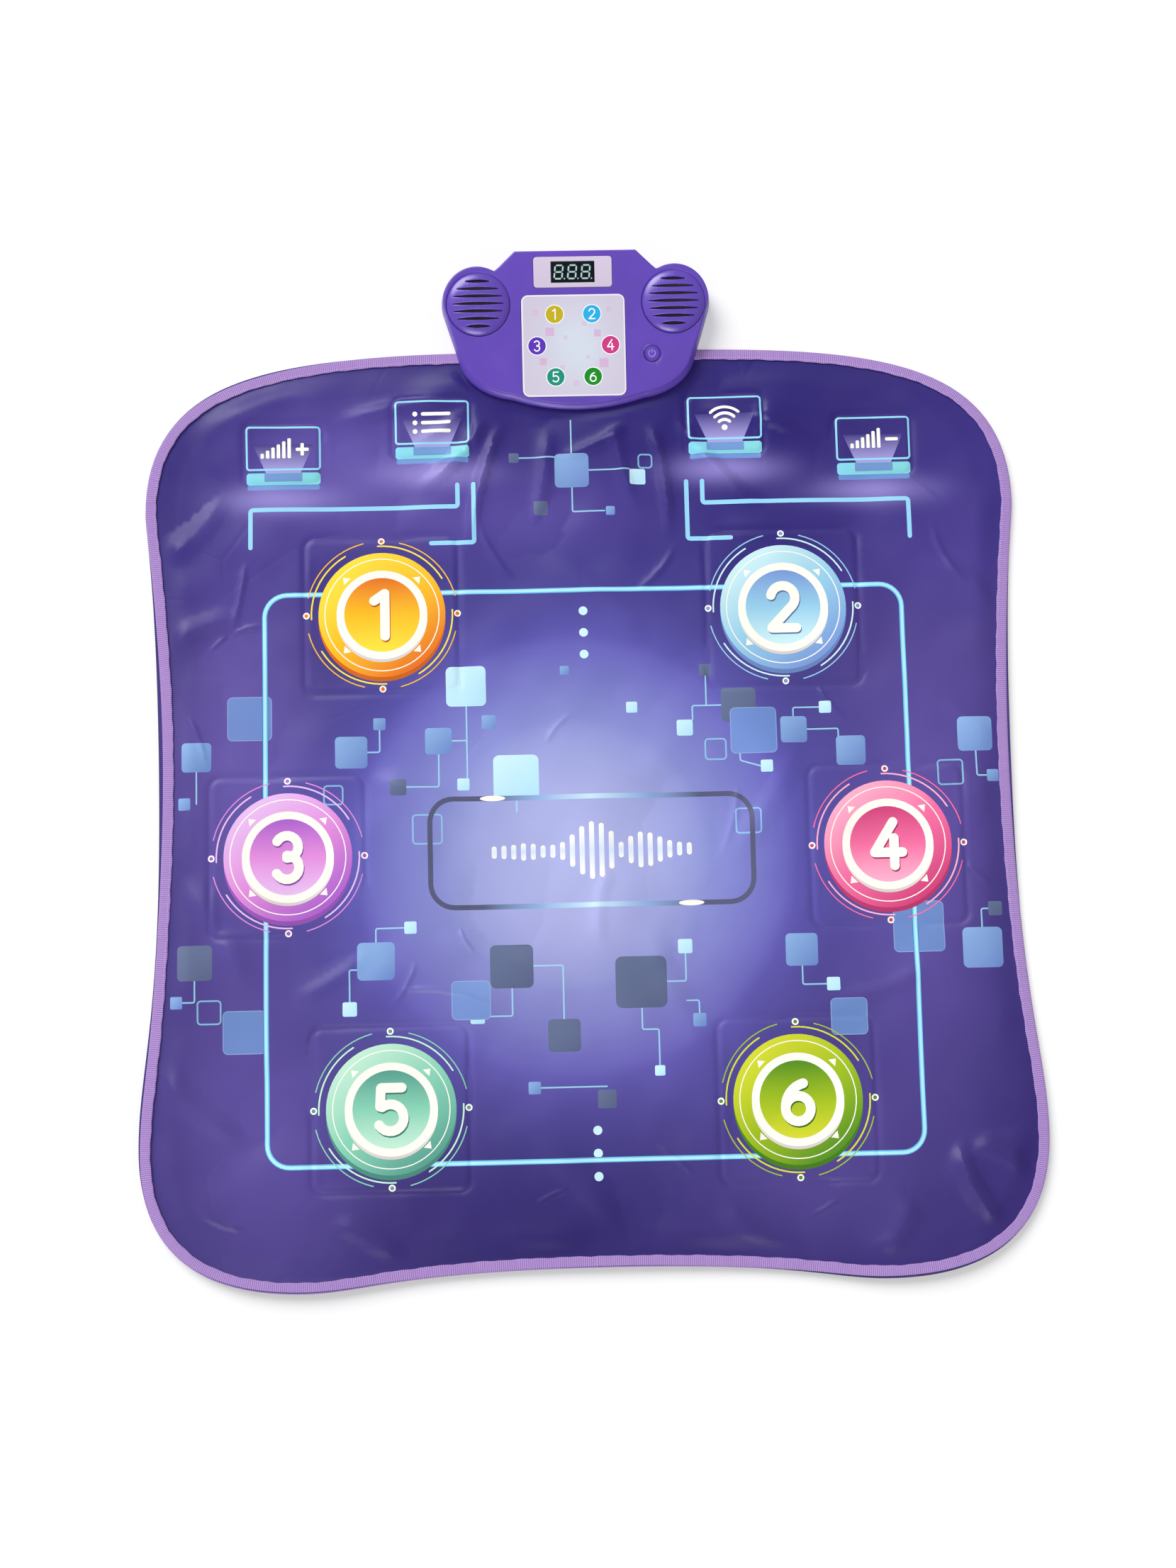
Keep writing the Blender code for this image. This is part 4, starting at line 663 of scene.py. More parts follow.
def tile(centre, size, corner, steps=5):
    """A square with round corners, everything in millimetres but its middle."""
    return rounded(centre, (size * MM, size * MM), corner * MM, steps)


def step_print(k):
    """A round target: echo arcs, a shaded disc, a cream ring, an inner disc, four arrows and the number."""
    c = np.array(STEPS[k]) * MM
    light, middle, deep = (srgb(*v) for v in ZONE_COLOURS[k])
    cream_shade = srgb(214, 206, 200)
    echo, disc, outer, inner = 75 * MM, 63 * MM, 45 * MM, 37.5 * MM
    disc_drop, ring_drop, number_drop = (0, -4.5 * MM), (0, -3 * MM), (0.8 * MM, -1.6 * MM)
    number_height, number_width = 47 * MM, 9.4 * MM
    art = []
    for radius, width, start, shade in ((echo, 1.1 * MM, 14, middle), (70 * MM, 1.5 * MM, 31, light)):
        for q in range(4):
            first = 90 * q + start
            art.append(([arc_band(c, radius, width, first, first + 62)], flat(shade)))
    for q in range(4):
        spot = arc(c, echo, 90 * q, 90 * q, 1)[0]
        art += [([circle(spot, 3.4 * MM, 20)], flat(CREAM)), ([circle(spot, 1.9 * MM, 16)], flat(deep))]
    slant = np.array((0.6, -0.8))
    high_side, low_side = c - slant * disc, c + slant * disc
    art.append(([circle(c + disc_drop, disc, 64)], fade(high_side, low_side, deep, deep * 0.7)))
    art.append(([circle(c, disc, 64)], fade(high_side, low_side, light, middle, deep)))
    art.append((ring(c, 57.2 * MM, 56.2 * MM), flat(CREAM)))
    art.append(([circle(c + ring_drop, outer, 52)], fade(c + ring_drop - (0, outer), c, cream_shade, CREAM)))
    art.append((ring(c, outer, inner), flat(CREAM)))
    art.append(([circle(c, inner, 48)], fade(c + (0, inner), c - (0, inner), deep, middle, light)))
    for q in range(4):
        out = arc((0, 0), 1.0, 90 * q + 45, 90 * q + 45, 1)[0]
        foot, half = c + out * 48.2 * MM, np.array((-out[1], out[0])) * 4.6 * MM
        art.append(([np.array([c + out * 54.2 * MM, foot + half, foot - half])], flat(CREAM)))
    for place, shade in ((c + number_drop, deep * 0.55), (c, CREAM)):
        art += [([line], flat(shade)) for line in digit(k + 1, place, number_height, number_width)]
    return art


def key_print(name):
    """A framed plate on a low shelf, with a plain sign: bars and plus or minus, a list, or waves."""
    x, y = np.array(KEYS[name]) * MM
    c = np.array((x, y + 6 * MM))
    shelf, shelf_end = c - (0, 31 * MM), np.array((37 * MM, 0))
    violet, lilac, shelf_blue = srgb(60, 50, 128), srgb(168, 160, 224), srgb(134, 214, 236)
    slot_blue, foot_blue = srgb(112, 150, 206), srgb(106, 142, 206)
    beam = c + np.array([(-17, -26), (17, -26), (30, 4), (-30, 4)]) * MM
    art = [([beam], fade(c - (0, 24 * MM), c + (0, 5 * MM), lilac, violet)),
           (frame_line(c, (75 * MM, 45 * MM), 4 * MM, 2 * MM), flat(CYAN)),
           ([rounded(shelf, (74 * MM, 12 * MM), 3 * MM)],
            fade(shelf - shelf_end, shelf + shelf_end, shelf_blue, TEAL, TEAL)),
           ([rounded(shelf + (0, 1.5 * MM), (38 * MM, 8.6 * MM), 1 * MM)], flat(slot_blue)),
           ([rounded(shelf - (0, 8.7 * MM), (72 * MM, 5.4 * MM), 1.7 * MM)], flat(foot_blue))]
    if name.startswith("volume"):
        long, wide = 13 * MM, 3.4 * MM
        for k in range(6):
            high = (5 + 3.1 * k) * MM
            place = c + ((-21 + 5.4 * k) * MM, -10 * MM + high / 2)
            art.append(([rounded(place, (wide, high), 1 * MM, 3)], flat(CREAM)))
        sign = c + (19 * MM, -1 * MM)
        art.append(([rounded(sign, (long, wide), 1.2 * MM, 3)], flat(CREAM)))
        if name == "volume_up":
            art.append(([rounded(sign, (wide, long), 1.2 * MM, 3)], flat(CREAM)))
    elif name == "mode":
        for k in range(3):
            row = c + (0, (9 - 9 * k) * MM)
            art += [([circle(row - (17 * MM, 0), 2.5 * MM, 16)], flat(CREAM)),
                    ([rounded(row + (4 * MM, 0), (30 * MM, 3.6 * MM), 1.8 * MM, 3)], flat(CREAM))]
    else:
        foot = c - (0, 10 * MM)
        art.append(([circle(foot, 3 * MM, 18)], flat(CREAM)))
        for k in range(3):
            art.append(([arc_band(foot, (8 + 6.4 * k) * MM, 3 * MM, 48, 132, 10)], flat(CREAM)))
    return art


SQUARES = [
    # x, y, size, tone
    (-8, 338, 26, 1), (-66, 352, 10, 2), (58, 330, 16, 0), (30, 296, 9, 1), (-40, 300, 14, 2),
    (-118, 120, 30, 0), (-96, 84, 14, 1), (-146, 66, 20, 1), (-70, 28, 34, 0), (-204, 84, 12, 1),
    (-232, 56, 24, 1), (-186, 20, 16, 2), (-122, 22, 12, 0), (120, 132, 12, 2), (152, 96, 26, 2),
    (98, 74, 16, 0), (206, 70, 20, 1), (238, 92, 12, 0), (262, 48, 22, 1), (178, 34, 12, 0),
    (46, 96, 11, 0), (-20, 134, 9, 1), (-210, -150, 28, 1), (-176, -118, 12, 0), (-236, -196, 14, 0),
    (-384, 54, 22, 1), (-396, 8, 12, 1), (-386, -148, 26, 2), (-404, -186, 12, 1), (386, 62, 26, 1),
    (402, 20, 12, 1), (384, -150, 30, 1), (398, -112, 14, 2), (206, -148, 24, 1), (236, -182, 13, 0),
    (-78, -158, 32, 2), (-112, -206, 14, 0), (-28, -226, 24, 2), (48, -176, 38, 2), (92, -142, 14, 0),
    (104, -214, 13, 1), (12, -288, 18, 2), (-58, -276, 12, 1), (64, -262, 10, 0),
]
TONES = [(ICE, srgb(176, 224, 244)), (srgb(140, 178, 226), srgb(104, 132, 196)), (SLATE, srgb(86, 96, 132))]
HOLLOWS = [
    # x, y, size
    (-158, -22, 30), (158, -20, 26), (-250, 14, 20), (-372, -196, 24),
    (360, 24, 26), (128, 52, 22), (66, 346, 15),
]
CLEAR = [
    # x, y, size
    (322, -128, 50), (-332, 92, 44), (-118, -190, 38),
    (166, 70, 46), (250, -214, 36), (-338, -216, 42),
]
WIRES = [
    [(-8, 390), (-8, 351)], [(5, 338), (50, 338)], [(-8, 325), (-8, 296), (24, 296)],
    [(-61, 352), (-21, 352), (-21, 346)], [(-118, 105), (-118, 28)], [(-136, 66), (-118, 66)],
    [(-204, 78), (-204, 56), (-220, 56)], [(-146, 56), (-146, 20), (-178, 20)], [(-70, 11), (-70, -6)],
    [(152, 83), (152, 40), (172, 34)], [(216, 70), (250, 70), (250, 59)], [(139, 96), (106, 96), (106, 82)],
    [(206, 80), (206, 92), (232, 92)], [(120, 126), (120, 96)], [(-210, -136), (-210, -118), (-182, -118)],
    [(-224, -158), (-236, -158), (-236, -189)], [(-384, 43), (-384, 8)],
    [(-386, -161), (-386, -186), (-398, -186)], [(386, 49), (386, 20), (396, 20)],
    [(384, -135), (384, -112), (391, -112)], [(206, -160), (206, -182), (230, -182)],
    [(67, -176), (92, -176), (92, -149)], [(-62, -158), (-28, -158), (-28, -214)],
    [(-78, -174), (-78, -206), (-105, -206)],
    [(92, -195), (104, -195), (104, -208)], [(48, -195), (48, -222), (64, -222), (64, -257)],
    [(-52, -276), (12, -276)],
]
FRAME_LAYERS = [
    # width, height, corner, thickness, colour
    (641, 567, 25, 5.6, (74, 104, 178)), (640, 566, 24.5, 4.6, (118, 200, 238)),
    (638.4, 564.4, 23.7, 2.6, (176, 236, 250)),
]
BRACKETS = [[(330, 264), (330, 303), (123, 303), (123, 325)], [(107, 325), (107, 266), (150, 266)]]


def field_print():
    """Frame line, brackets, squares, outlines, wires, dots and the centre plate with its level bars."""
    art = []
    for wire in WIRES:
        path = np.array(wire) * MM
        if len(wire) > 2:
            path = bent(path, 2 * MM, 3)
        art.append(([stroke(path, 1.5 * MM, 4)], veil(LINE, 0.72)))
    for x, y, size in HOLLOWS:
        side = size * MM
        art.append((frame_line(np.array((x, y)) * MM, (side, side), 4 * MM, 1.6 * MM, 4), veil(CYAN, 0.62)))
    for x, y, size, tone in SQUARES:
        c, size = np.array((x, y)) * MM, size * (1.32 if size > 18 else 1.0)
        half = size * MM / 2
        sweep = fade(c + (-half, half), c + (half, -half), *TONES[tone])
        art.append(([tile(c, size, max(1.5, size * 0.13), 4)], sweep))
    for x, ys in ((0, (150, 172, 194)), (2, (-318, -340, -362))):
        art += [([circle(np.array((x, y)) * MM, 4.4 * MM, 24)], flat(ICE)) for y in ys]
    for x, y, size in CLEAR:
        c, side, within = np.array((x, y)) * MM, size * MM, size * MM - 1.6 * MM
        art.append((frame_line(c, (side, side), 5 * MM, 0.8 * MM, 4), veil(SKY, 0.62)))
        art.append(([rounded(c, (within, within), 4.4 * MM, 4)], veil(srgb(120, 168, 226), 0.55)))
    middle = (1 * MM, -65.5 * MM)
    for wide, high, corner, width, colour in FRAME_LAYERS:
        line = frame_line(middle, (wide * MM, high * MM), corner * MM, width * MM, 8)
        art.append((line, flat(srgb(*colour))))
    for side in (-1, 1):
        for bracket in BRACKETS:
            path = bent([(side * x * MM, y * MM) for x, y in bracket], 3 * MM)
            art.append(([stroke(path, 4.4 * MM)], flat(srgb(150, 214, 246))))
    return art + plate_print()


def plate_print():
    """A dark frame with long highlights, and a row of level bars that follow two sine waves."""
    c = np.array((3, -46)) * MM
    w, h, width = 322 * MM, 112 * MM, 5 * MM
    dark, blue = srgb(86, 89, 120), srgb(142, 174, 222)
    bright, bar_middle = srgb(200, 230, 247), srgb(214, 226, 250)
    sweep = fade(c - (w / 2, 0), c + (w / 2, 0), dark, dark, blue, bright, blue, dark, dark)
    art = [(frame_line(c, (w, h), 26 * MM, width, 8), sweep)]
    for sx, sy in ((-0.3, 1), (0.3, -1)):
        spot = c + (sx * w, sy * (h / 2 - width / 2))
        art.append(([spot + circle((0, 0), 1.0, 32) * (12.5 * MM, 2.7 * MM)], flat(CREAM)))
    count, reach, lowest, rise = 21, 96, 12, 46
    for k in range(count):
        t = (k - (count - 1) / 2) / ((count - 1) / 2)
        swing = abs(0.45 * math.sin(7.3 * t + 1.1) + 0.62 * math.cos(3.1 * t + 0.4))
        high = (lowest + rise * (1 - t * t) * swing) * MM
        top, foot = c + (0, high / 2), c - (0, high / 2)
        bar = rounded(c + (t * reach * MM, 0), (5 * MM, high), 2.4 * MM, 4)
        art.append(([bar], fade(top, foot, CREAM, bar_middle, CREAM)))
    return art


ART = field_print()
ART += [shape for k in range(len(STEPS)) for shape in step_print(k)]
ART += [shape for name in KEYS for shape in key_print(name)]


def paint_with(art, under):
    """Colour of every triangle's corners: the last shape that its middle lies in, or the ground."""
    def paint(points, triangles):
        middle = points[triangles].mean(1)
        owner = np.full(len(triangles), -1)
        for k, (loops, _) in enumerate(art):
            odd = np.zeros(len(middle), bool)
            for loop in loops:
                odd ^= inside(middle, loop)
            owner[odd] = k
        at = points[triangles].reshape(-1, 2)
        corner_owner = np.repeat(owner, 3)
        colour = under(at)
        for k in np.unique(owner[owner >= 0]):
            mine = corner_owner == k
            colour[mine] = art[k][1](at[mine])
        return colour
    return paint


def boxes_meet(loop, low, high):
    """True where a loop's box meets another box."""
    return (loop.min(0) < high).all() and (loop.max(0) > low).all()


# Finishes

class Finish:
    """A material built node by node: a Principled shader, Object coordinates and whatever is added."""

    def __init__(self, name, colour, roughness, metallic=0.0, **uniform):
        self.material = bpy.data.materials.new(name)
        self.material.use_nodes = True
        self.tree = self.material.node_tree
        self.shader = self.tree.nodes["Principled BSDF"]
        self.set("Base Color", (*srgb(*colour), 1.0))
        self.set("Roughness", roughness)
        self.set("Metallic", metallic)
        for key, value in uniform.items():
            self.set(key.replace("_", " "), value)
        self.place = self.node("ShaderNodeTexCoord").outputs["Object"]

    def set(self, socket, value):
        """Gives the shader's socket a value, or joins it to another socket."""
        if isinstance(value, bpy.types.NodeSocket):
            self.tree.links.new(value, self.shader.inputs[socket])
        else:
            self.shader.inputs[socket].default_value = value

    def node(self, kind, inputs=(), **settings):
        """A new node with its settings, its inputs set or joined."""
        made = self.tree.nodes.new(kind)
        for key, value in settings.items():
            setattr(made, key, value)
        for key, value in dict(inputs).items():
            if isinstance(value, bpy.types.NodeSocket):
                self.tree.links.new(value, made.inputs[key])
            else:
                made.inputs[key].default_value = value
        return made

    def noise(self, scale, detail=3.0, stretch=None):
        """Cloudy noise, drawn out along an axis if a stretch is given."""
        where = self.place
        if stretch:
            where = self.node("ShaderNodeMapping", {"Vector": where, "Scale": stretch}).outputs["Vector"]
        return self.node("ShaderNodeTexNoise", {"Vector": where, "Scale": scale, "Detail": detail}).outputs[0]

    def cells(self, scale):
        """Distance from the edges of a pattern of uneven cells."""
        inputs = {"Vector": self.place, "Scale": scale, "Randomness": 1.0}
        return self.node("ShaderNodeTexVoronoi", inputs, feature="DISTANCE_TO_EDGE").outputs["Distance"]

    def dots(self, pitch):
        """Distance from the nearest point of a square grid in the plan, as a share of its pitch."""
        inputs = {"Vector": self.place, "Scale": 1 / pitch, "Randomness": 0.0}
        return self.node("ShaderNodeTexVoronoi", inputs, voronoi_dimensions="2D").outputs["Distance"]

    def sine(self, value, pitch):
        """A sine wave of a value, once round in every pitch."""
        return self.maths("SINE", self.maths("MULTIPLY", value, 2 * math.pi / pitch))

    def span(self, value, low, high, start=0.3, end=0.7):
        """A value carried from one range to another."""
        inputs = {"Value": value, "From Min": start, "From Max": end, "To Min": low, "To Max": high}
        return self.node("ShaderNodeMapRange", inputs).outputs["Result"]

    def maths(self, operation, a, b=0.0, c=0.0):
        """One sum on up to three values."""
        return self.node("ShaderNodeMath", {0: a, 1: b, 2: c}, operation=operation).outputs[0]

    def mix(self, share, a, b, blend="MIX"):
        """Two colours mixed by a share."""
        made = self.node("ShaderNodeMix", data_type="RGBA", blend_type=blend)
        for socket, value in (("Factor_Float", share), ("A_Color", a), ("B_Color", b)):
            target = next(s for s in made.inputs if s.identifier == socket)
            if isinstance(value, bpy.types.NodeSocket):
                self.tree.links.new(value, target)
            else:
                target.default_value = value
        return next(s for s in made.outputs if s.identifier == "Result_Color")

    def tint(self, value, low, high):
        """Two sRGB colours mixed by a value."""
        return self.mix(value, (*srgb(*low), 1.0), (*srgb(*high), 1.0))

    def bump(self, height, distance, strength=1.0):
        """Adds relief on top of what is there."""
        inputs = {"Height": height, "Distance": distance, "Strength": strength}
        old = self.shader.inputs["Normal"]
        if old.is_linked:
            inputs["Normal"] = old.links[0].from_socket
        self.set("Normal", self.node("ShaderNodeBump", inputs).outputs["Normal"])


def printed(name, roughness, grain, relief, mottle=0.05, **uniform):
    """Ink on a sheet: the print attribute, slightly uneven, over a fine embossed grain."""
    f = Finish(name, (90, 80, 160), roughness, **uniform)
    ink = f.node("ShaderNodeAttribute", attribute_name="print").outputs["Color"]
    cloud = f.span(f.noise(9.0, 4.0), 1 - mottle, 1 + mottle)
    grey = f.node("ShaderNodeCombineColor", {0: cloud, 1: cloud, 2: cloud}).outputs[0]
    f.set("Base Color", f.mix(1.0, ink, grey, "MULTIPLY"))
    f.set("Roughness", f.span(f.noise(30.0, 3.0), roughness - 0.05, roughness + 0.07))
    f.bump(f.noise(grain, 2.0), relief)
    return f


def vinyl():
    """Satin vinyl: the print, faint handling creases, and an embossed cloth grain."""
    f = printed("printed_vinyl", 0.4, 900.0, 0.00006, Specular_IOR_Level=0.3)
    creases = f.span(f.cells(11.0), 0.0, 1.0, 0.0, 0.03)
    mask = f.span(f.noise(7.0, 2.0), 0.0, 1.0, 0.52, 0.66)
    f.bump(f.maths("MULTIPLY", creases, mask), 0.00025, 0.5)
    f.bump(f.noise(24.0, 5.0), 0.0006, 0.35)
    return f.material


def tape_finish():
    """Ribbed tape: ribs across its length from its own map, fine threads between them, a soft sheen, and
    painted shade in the hollows between the ribs with lighter rib tops.
    """
    f = Finish("binding_tape", (182, 148, 226), 0.7, Sheen_Weight=0.35, Sheen_Roughness=0.45,
               Specular_IOR_Level=0.25)
    run = f.node("ShaderNodeSeparateXYZ", {0: f.node("ShaderNodeUVMap", uv_map="run").outputs[0]}).outputs
    ribs, threads = f.sine(run[0], RIB_PITCH), f.sine(run[1], 0.6 * MM)
    # painted shade and light: a darker tone between the ribs and a lighter one on their tops, mixed by the
    # ribs' own sine
    between = f.tint(f.noise(30.0), (140, 107, 172), (152, 117, 184))
    lit_rib_tops = f.tint(f.noise(60.0), (180, 148, 212), (190, 158, 223))
    f.set("Base Color", f.mix(f.span(ribs, 0.0, 1.0, -1.0, 1.0), between, lit_rib_tops))
    f.bump(f.maths("MULTIPLY_ADD", threads, 0.3, ribs), 0.00012, 0.7)
    f.set("Sheen Tint", (0.86, 0.76, 1.0, 1.0))
    return f.material


def thread_finish():
    """Twisted thread: strands from fine noise drawn out along it."""
    f = Finish("stitch_thread", (206, 178, 240), 0.6, Sheen_Weight=0.3)
    f.set("Base Color", f.tint(f.noise(700.0), (184, 152, 226), (218, 194, 246)))
    f.bump(f.noise(1500.0, 1.0, stretch=(1, 3, 1)), 0.0001)
    return f.material


def backing_finish():
    """Anti-slip backing: felt fibres and a grid of small raised dots."""
    f = Finish("anti_slip_backing", (112, 107, 110), 0.85, Sheen_Weight=0.15)
    fibres = f.noise(160.0, 6.0, stretch=(1, 2.4, 1))
    dots = f.span(f.dots(6 * MM), 1.0, 0.0, 0.18, 0.26)
    felt = f.tint(fibres, (92, 88, 92), (132, 126, 128))
    f.set("Base Color", f.mix(dots, felt, (*srgb(70, 66, 72), 1.0)))
    f.set("Roughness", f.span(dots, 0.92, 0.55, 0.0, 1.0))
    f.bump(fibres, 0.0004, 0.6)
    f.bump(dots, 0.0005)
    return f.material


def foam_finish(name, light, dark, fineness):
    """Foam: cells of uneven size, lit edges and shaded hollows."""
    f = Finish(name, light, 0.95)
    pores = f.cells(fineness)
    hollow = f.tint(f.noise(60.0), light, dark)
    f.set("Base Color", f.mix(f.span(pores, 1.0, 0.0, 0.0, 0.25), hollow, (*srgb(*light), 1.0)))
    f.bump(pores, 0.0004, 0.8)
    return f.material


def moulded(name, colour, roughness, spark=0.00004, specular=0.45):
    """Moulded plastic: spark-eroded grain, a slight flow of tone and finger-worn patches of gloss."""
    f = Finish(name, colour, roughness, Specular_IOR_Level=specular)
    dark = tuple(c * 0.93 for c in colour)
    f.set("Base Color", f.tint(f.span(f.noise(18.0, 4.0), 0.0, 1.0), dark, colour))
    f.set("Roughness", f.span(f.noise(45.0, 4.0), roughness - 0.06, roughness + 0.08))
    f.bump(f.noise(2200.0, 1.0), spark)
    f.bump(f.noise(140.0, 2.0), spark * 2, 0.4)
    return f.material


def metal(name, colour, roughness, brushed=(1, 1, 30)):
    """Metal: brushed streaks in its roughness and a faint relief, duller in patches."""
    f = Finish(name, colour, roughness, 1.0)
    streaks = f.noise(500.0, 3.0, stretch=brushed)
    patches = f.span(f.noise(90.0), -0.03, 0.07)
    f.set("Roughness", f.maths("ADD", f.span(streaks, roughness - 0.08, roughness + 0.1), patches))
    f.set("Base Color", f.tint(f.noise(220.0), tuple(c * 0.85 for c in colour), colour))
    f.bump(streaks, 0.00002)
    return f.material


def board_finish():
    """Circuit board: green mask over a grid of copper runs, with a glossy surface."""
    f = Finish("board_green", (30, 92, 56), 0.35, Coat_Weight=0.4, Coat_Roughness=0.15)
    fields = {"Color1": (0, 0, 0, 1), "Color2": (0.2, 0.2, 0.2, 1), "Mortar": (1, 1, 1, 1)}
    grid = f.node("ShaderNodeTexBrick", {"Vector": f.place, "Scale": 60.0, "Mortar Size": 0.03, **fields})
    runs = f.span(grid.outputs["Color"], 0.0, 1.0, 0.2, 0.9)
    mask = f.tint(f.noise(80.0), (24, 80, 48), (34, 98, 60))
    f.set("Base Color", f.mix(runs, mask, (*srgb(70, 140, 84), 1.0)))
    f.bump(runs, 0.00005)
    return f.material


def paper_finish():
    """Speaker cone: pressed paper with loose fibres, mottled and rough."""
    f = Finish("cone_paper", (46, 44, 48), 0.85)
    f.set("Base Color", f.tint(f.noise(260.0, 6.0), (36, 34, 38), (60, 58, 62)))
    f.bump(f.noise(420.0, 6.0), 0.0003, 0.7)
    return f.material


def cell_finish():
    """Battery jacket: a lacquered sleeve, dark with a band of copper tone at one end."""
    f = Finish("cell_jacket", (52, 54, 62), 0.3, Coat_Weight=0.5, Coat_Roughness=0.1)
    y = f.node("ShaderNodeSeparateXYZ", {0: f.place}).outputs[1]
    band = f.span(y, 0.0, 1.0, CELL_BAND_Y, CELL_BAND_Y + 0.5 * MM)
    sleeve = f.tint(f.noise(120.0), (44, 46, 54), (60, 62, 70))
    f.set("Base Color", f.mix(band, sleeve, (*srgb(186, 128, 70), 1.0)))
    f.bump(f.noise(300.0, 2.0), 0.00003)
    return f.material


def cable_finish():
    """Flat cable: amber film over bright conductors side by side."""
    f = Finish("cable_amber", (196, 140, 60), 0.3, Coat_Weight=0.5)
    x = f.node("ShaderNodeSeparateXYZ", {0: f.place}).outputs[0]
    strips = f.sine(x, 1 * MM)
    f.set("Base Color", f.tint(f.span(strips, 0.0, 1.0, -0.2, 0.2), (176, 116, 40), (222, 190, 130)))
    f.bump(strips, 0.00004)
    return f.material


VINYL, TAPE, THREAD, BACKING = vinyl(), tape_finish(), thread_finish(), backing_finish()
FOAM = foam_finish("foam_white", (232, 232, 228), (205, 205, 200), 700.0)
SPACER = foam_finish("spacer_foam", (218, 218, 208), (186, 186, 176), 420.0)
PURPLE = moulded("console_purple", (102, 72, 188), 0.34)
GRILLE_PURPLE = moulded("grille_purple", (102, 72, 188), 0.25, specular=0.7)
BLACK = moulded("speaker_black", (34, 34, 38), 0.5)
STEEL, ZINC = metal("screw_steel", (170, 170, 174), 0.3), metal("zinc_steel", (176, 178, 182), 0.38)
NICKEL, MAGNET = metal("contact_nickel", (198, 196, 188), 0.26), metal("magnet_steel", (150, 150, 154), 0.4)
BOARD, PAPER, CELL, AMBER = board_finish(), paper_finish(), cell_finish(), cable_finish()
PANEL_INK = printed("panel_print", 0.34, 1800.0, 0.00002, 0.02, Specular_IOR_Level=0.35).material
BUTTON_INK = printed("button_print", 0.34, 2200.0, 0.00004, 0.04, Specular_IOR_Level=0.45).material
LED_INK = printed("display_face", 0.2, 1500.0, 0.00001, 0.03, Specular_IOR_Level=0.2).material
FILM_INK = printed("circuit_print", 0.3, 900.0, 0.00003, 0.03, Coat_Weight=0.3).material


# The mat

def piece(obj, body, slot, *nodes):
    """Sets an object on its body and hides the nodes that it stands for. The slot is not used."""
    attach(obj, body)
    if nodes:
        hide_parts(*nodes)
    return obj


def inside_edge(edge, step):
    """Free points of a lattice over the mat that lie inside an edge."""
    free = lattice(*MAT_BOX, step)
    return free[inside(free, edge)]


def grown(centre, size, corner, by):
    """The outline of a rounded rectangle made larger all round, or smaller if the growth is negative."""
    return rounded(centre, (size[0] + 2 * by, size[1] + 2 * by), corner + by)


def printed_sheet():
    """The whole top sheet less the pads' windows, each triangle following the print's edges."""
    line = spaced(MAT_LINE, 5 * MM)
    edge = inset(line, 1.2 * MM)
    openings = windows()
    art = [loop for loops, _ in ART for loop in loops]
    rings = [grown(*zone[1:], by) for zone in zones() for by in (1.6 * MM, 3.6 * MM)]
    rims = [inset(line, distance) for distance in (11.5 * MM, 16 * MM, 21 * MM)]
    creases = [crease for spec in FOLDS for crease in fold_lines(spec)]

    def keep(middle):
        return inside(middle, edge) & ~in_any(middle, openings)
    loops = [edge] + openings + rings + rims + art
    points, triangles = plan(loops, inside_edge(edge, GRID), keep, creases=creases)
    top = sheet_height(points)
    obj = shell("printed_sheet", points, triangles, top, top - SHEET_THICKNESS, VINYL,
                paint=paint_with(ART, ground), normals=sheet_normals(points), smooth=0)
    return piece(obj, "mat", "printed_sheet", "top_sheet"), plan_area(points, triangles)


def pad_patch(name, centre, size, corner):
    """The sheet over one pad with its stiff backing: thin at its edge."""
    edge = rounded(centre, size, corner)
    low, high = edge.min(0), edge.max(0)
    art = [loop for loops, _ in ART for loop in loops if boxes_meet(loop, low, high)]
    rings = [grown(centre, size, corner, -distance) for distance in (0.6 * MM, 2 * MM, 3.6 * MM, 6 * MM)]
    free = lattice(low, high, 4.0 * MM)
    points, triangles = plan([edge] + rings + art, free, lambda middle: inside(middle, edge))
    depth = box_depth(points, centre, size, corner)
    top = sheet_height(points)
    thin = top - SHEET_THICKNESS
    bottom = thin + (PAD_BOTTOM - thin) * ease((depth - 0.5 * MM) / (1.6 * MM))
    obj = shell(name + "_cover", points, triangles, top, bottom, VINYL,
                paint=paint_with(ART, ground), normals=sheet_normals(points), smooth=0)
    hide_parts(name + "_pad")
    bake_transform(obj)
    return obj


def pad_spacer(name, centre, size):
    """Perforated foam under one pad."""
    if name.startswith("step"):
        pitch, radius = 46 * MM, 14 * MM
        spots = [(a, b) for a in (-pitch, 0, pitch) for b in (-pitch, 0, pitch)]
    else:
        pitch, radius = 34 * MM, 11 * MM
        spots = [(-pitch / 2, 0), (pitch / 2, 0)]
    holes = [circle(centre + np.array(s), radius, 32) for s in spots]
    edge = rounded(centre, (size[0] - SPACER_MARGIN, size[1] - SPACER_MARGIN), 2 * MM, 4)
    bevel = 0.35 * MM
    inner = [inset(edge, bevel)] + [circle(centre + np.array(s), radius + bevel, 32) for s in spots]

    def keep(middle):
        return inside(middle, edge) & ~in_any(middle, holes)
    points, triangles = plan([edge] + holes + inner, NO_POINTS, keep, 0.1 * MM)
    rim = nearest(points, [edge] + holes)
    soft = bevel * (1 - np.clip(rim / bevel, 0, 1))
    obj = shell(name + "_spring_foam", points, triangles, SPACER_TOP - soft, CORE_BOTTOM + soft, SPACER)
    piece(obj, "mat", "spacer_foam", name + "_spacer")
    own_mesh(obj)
    return obj


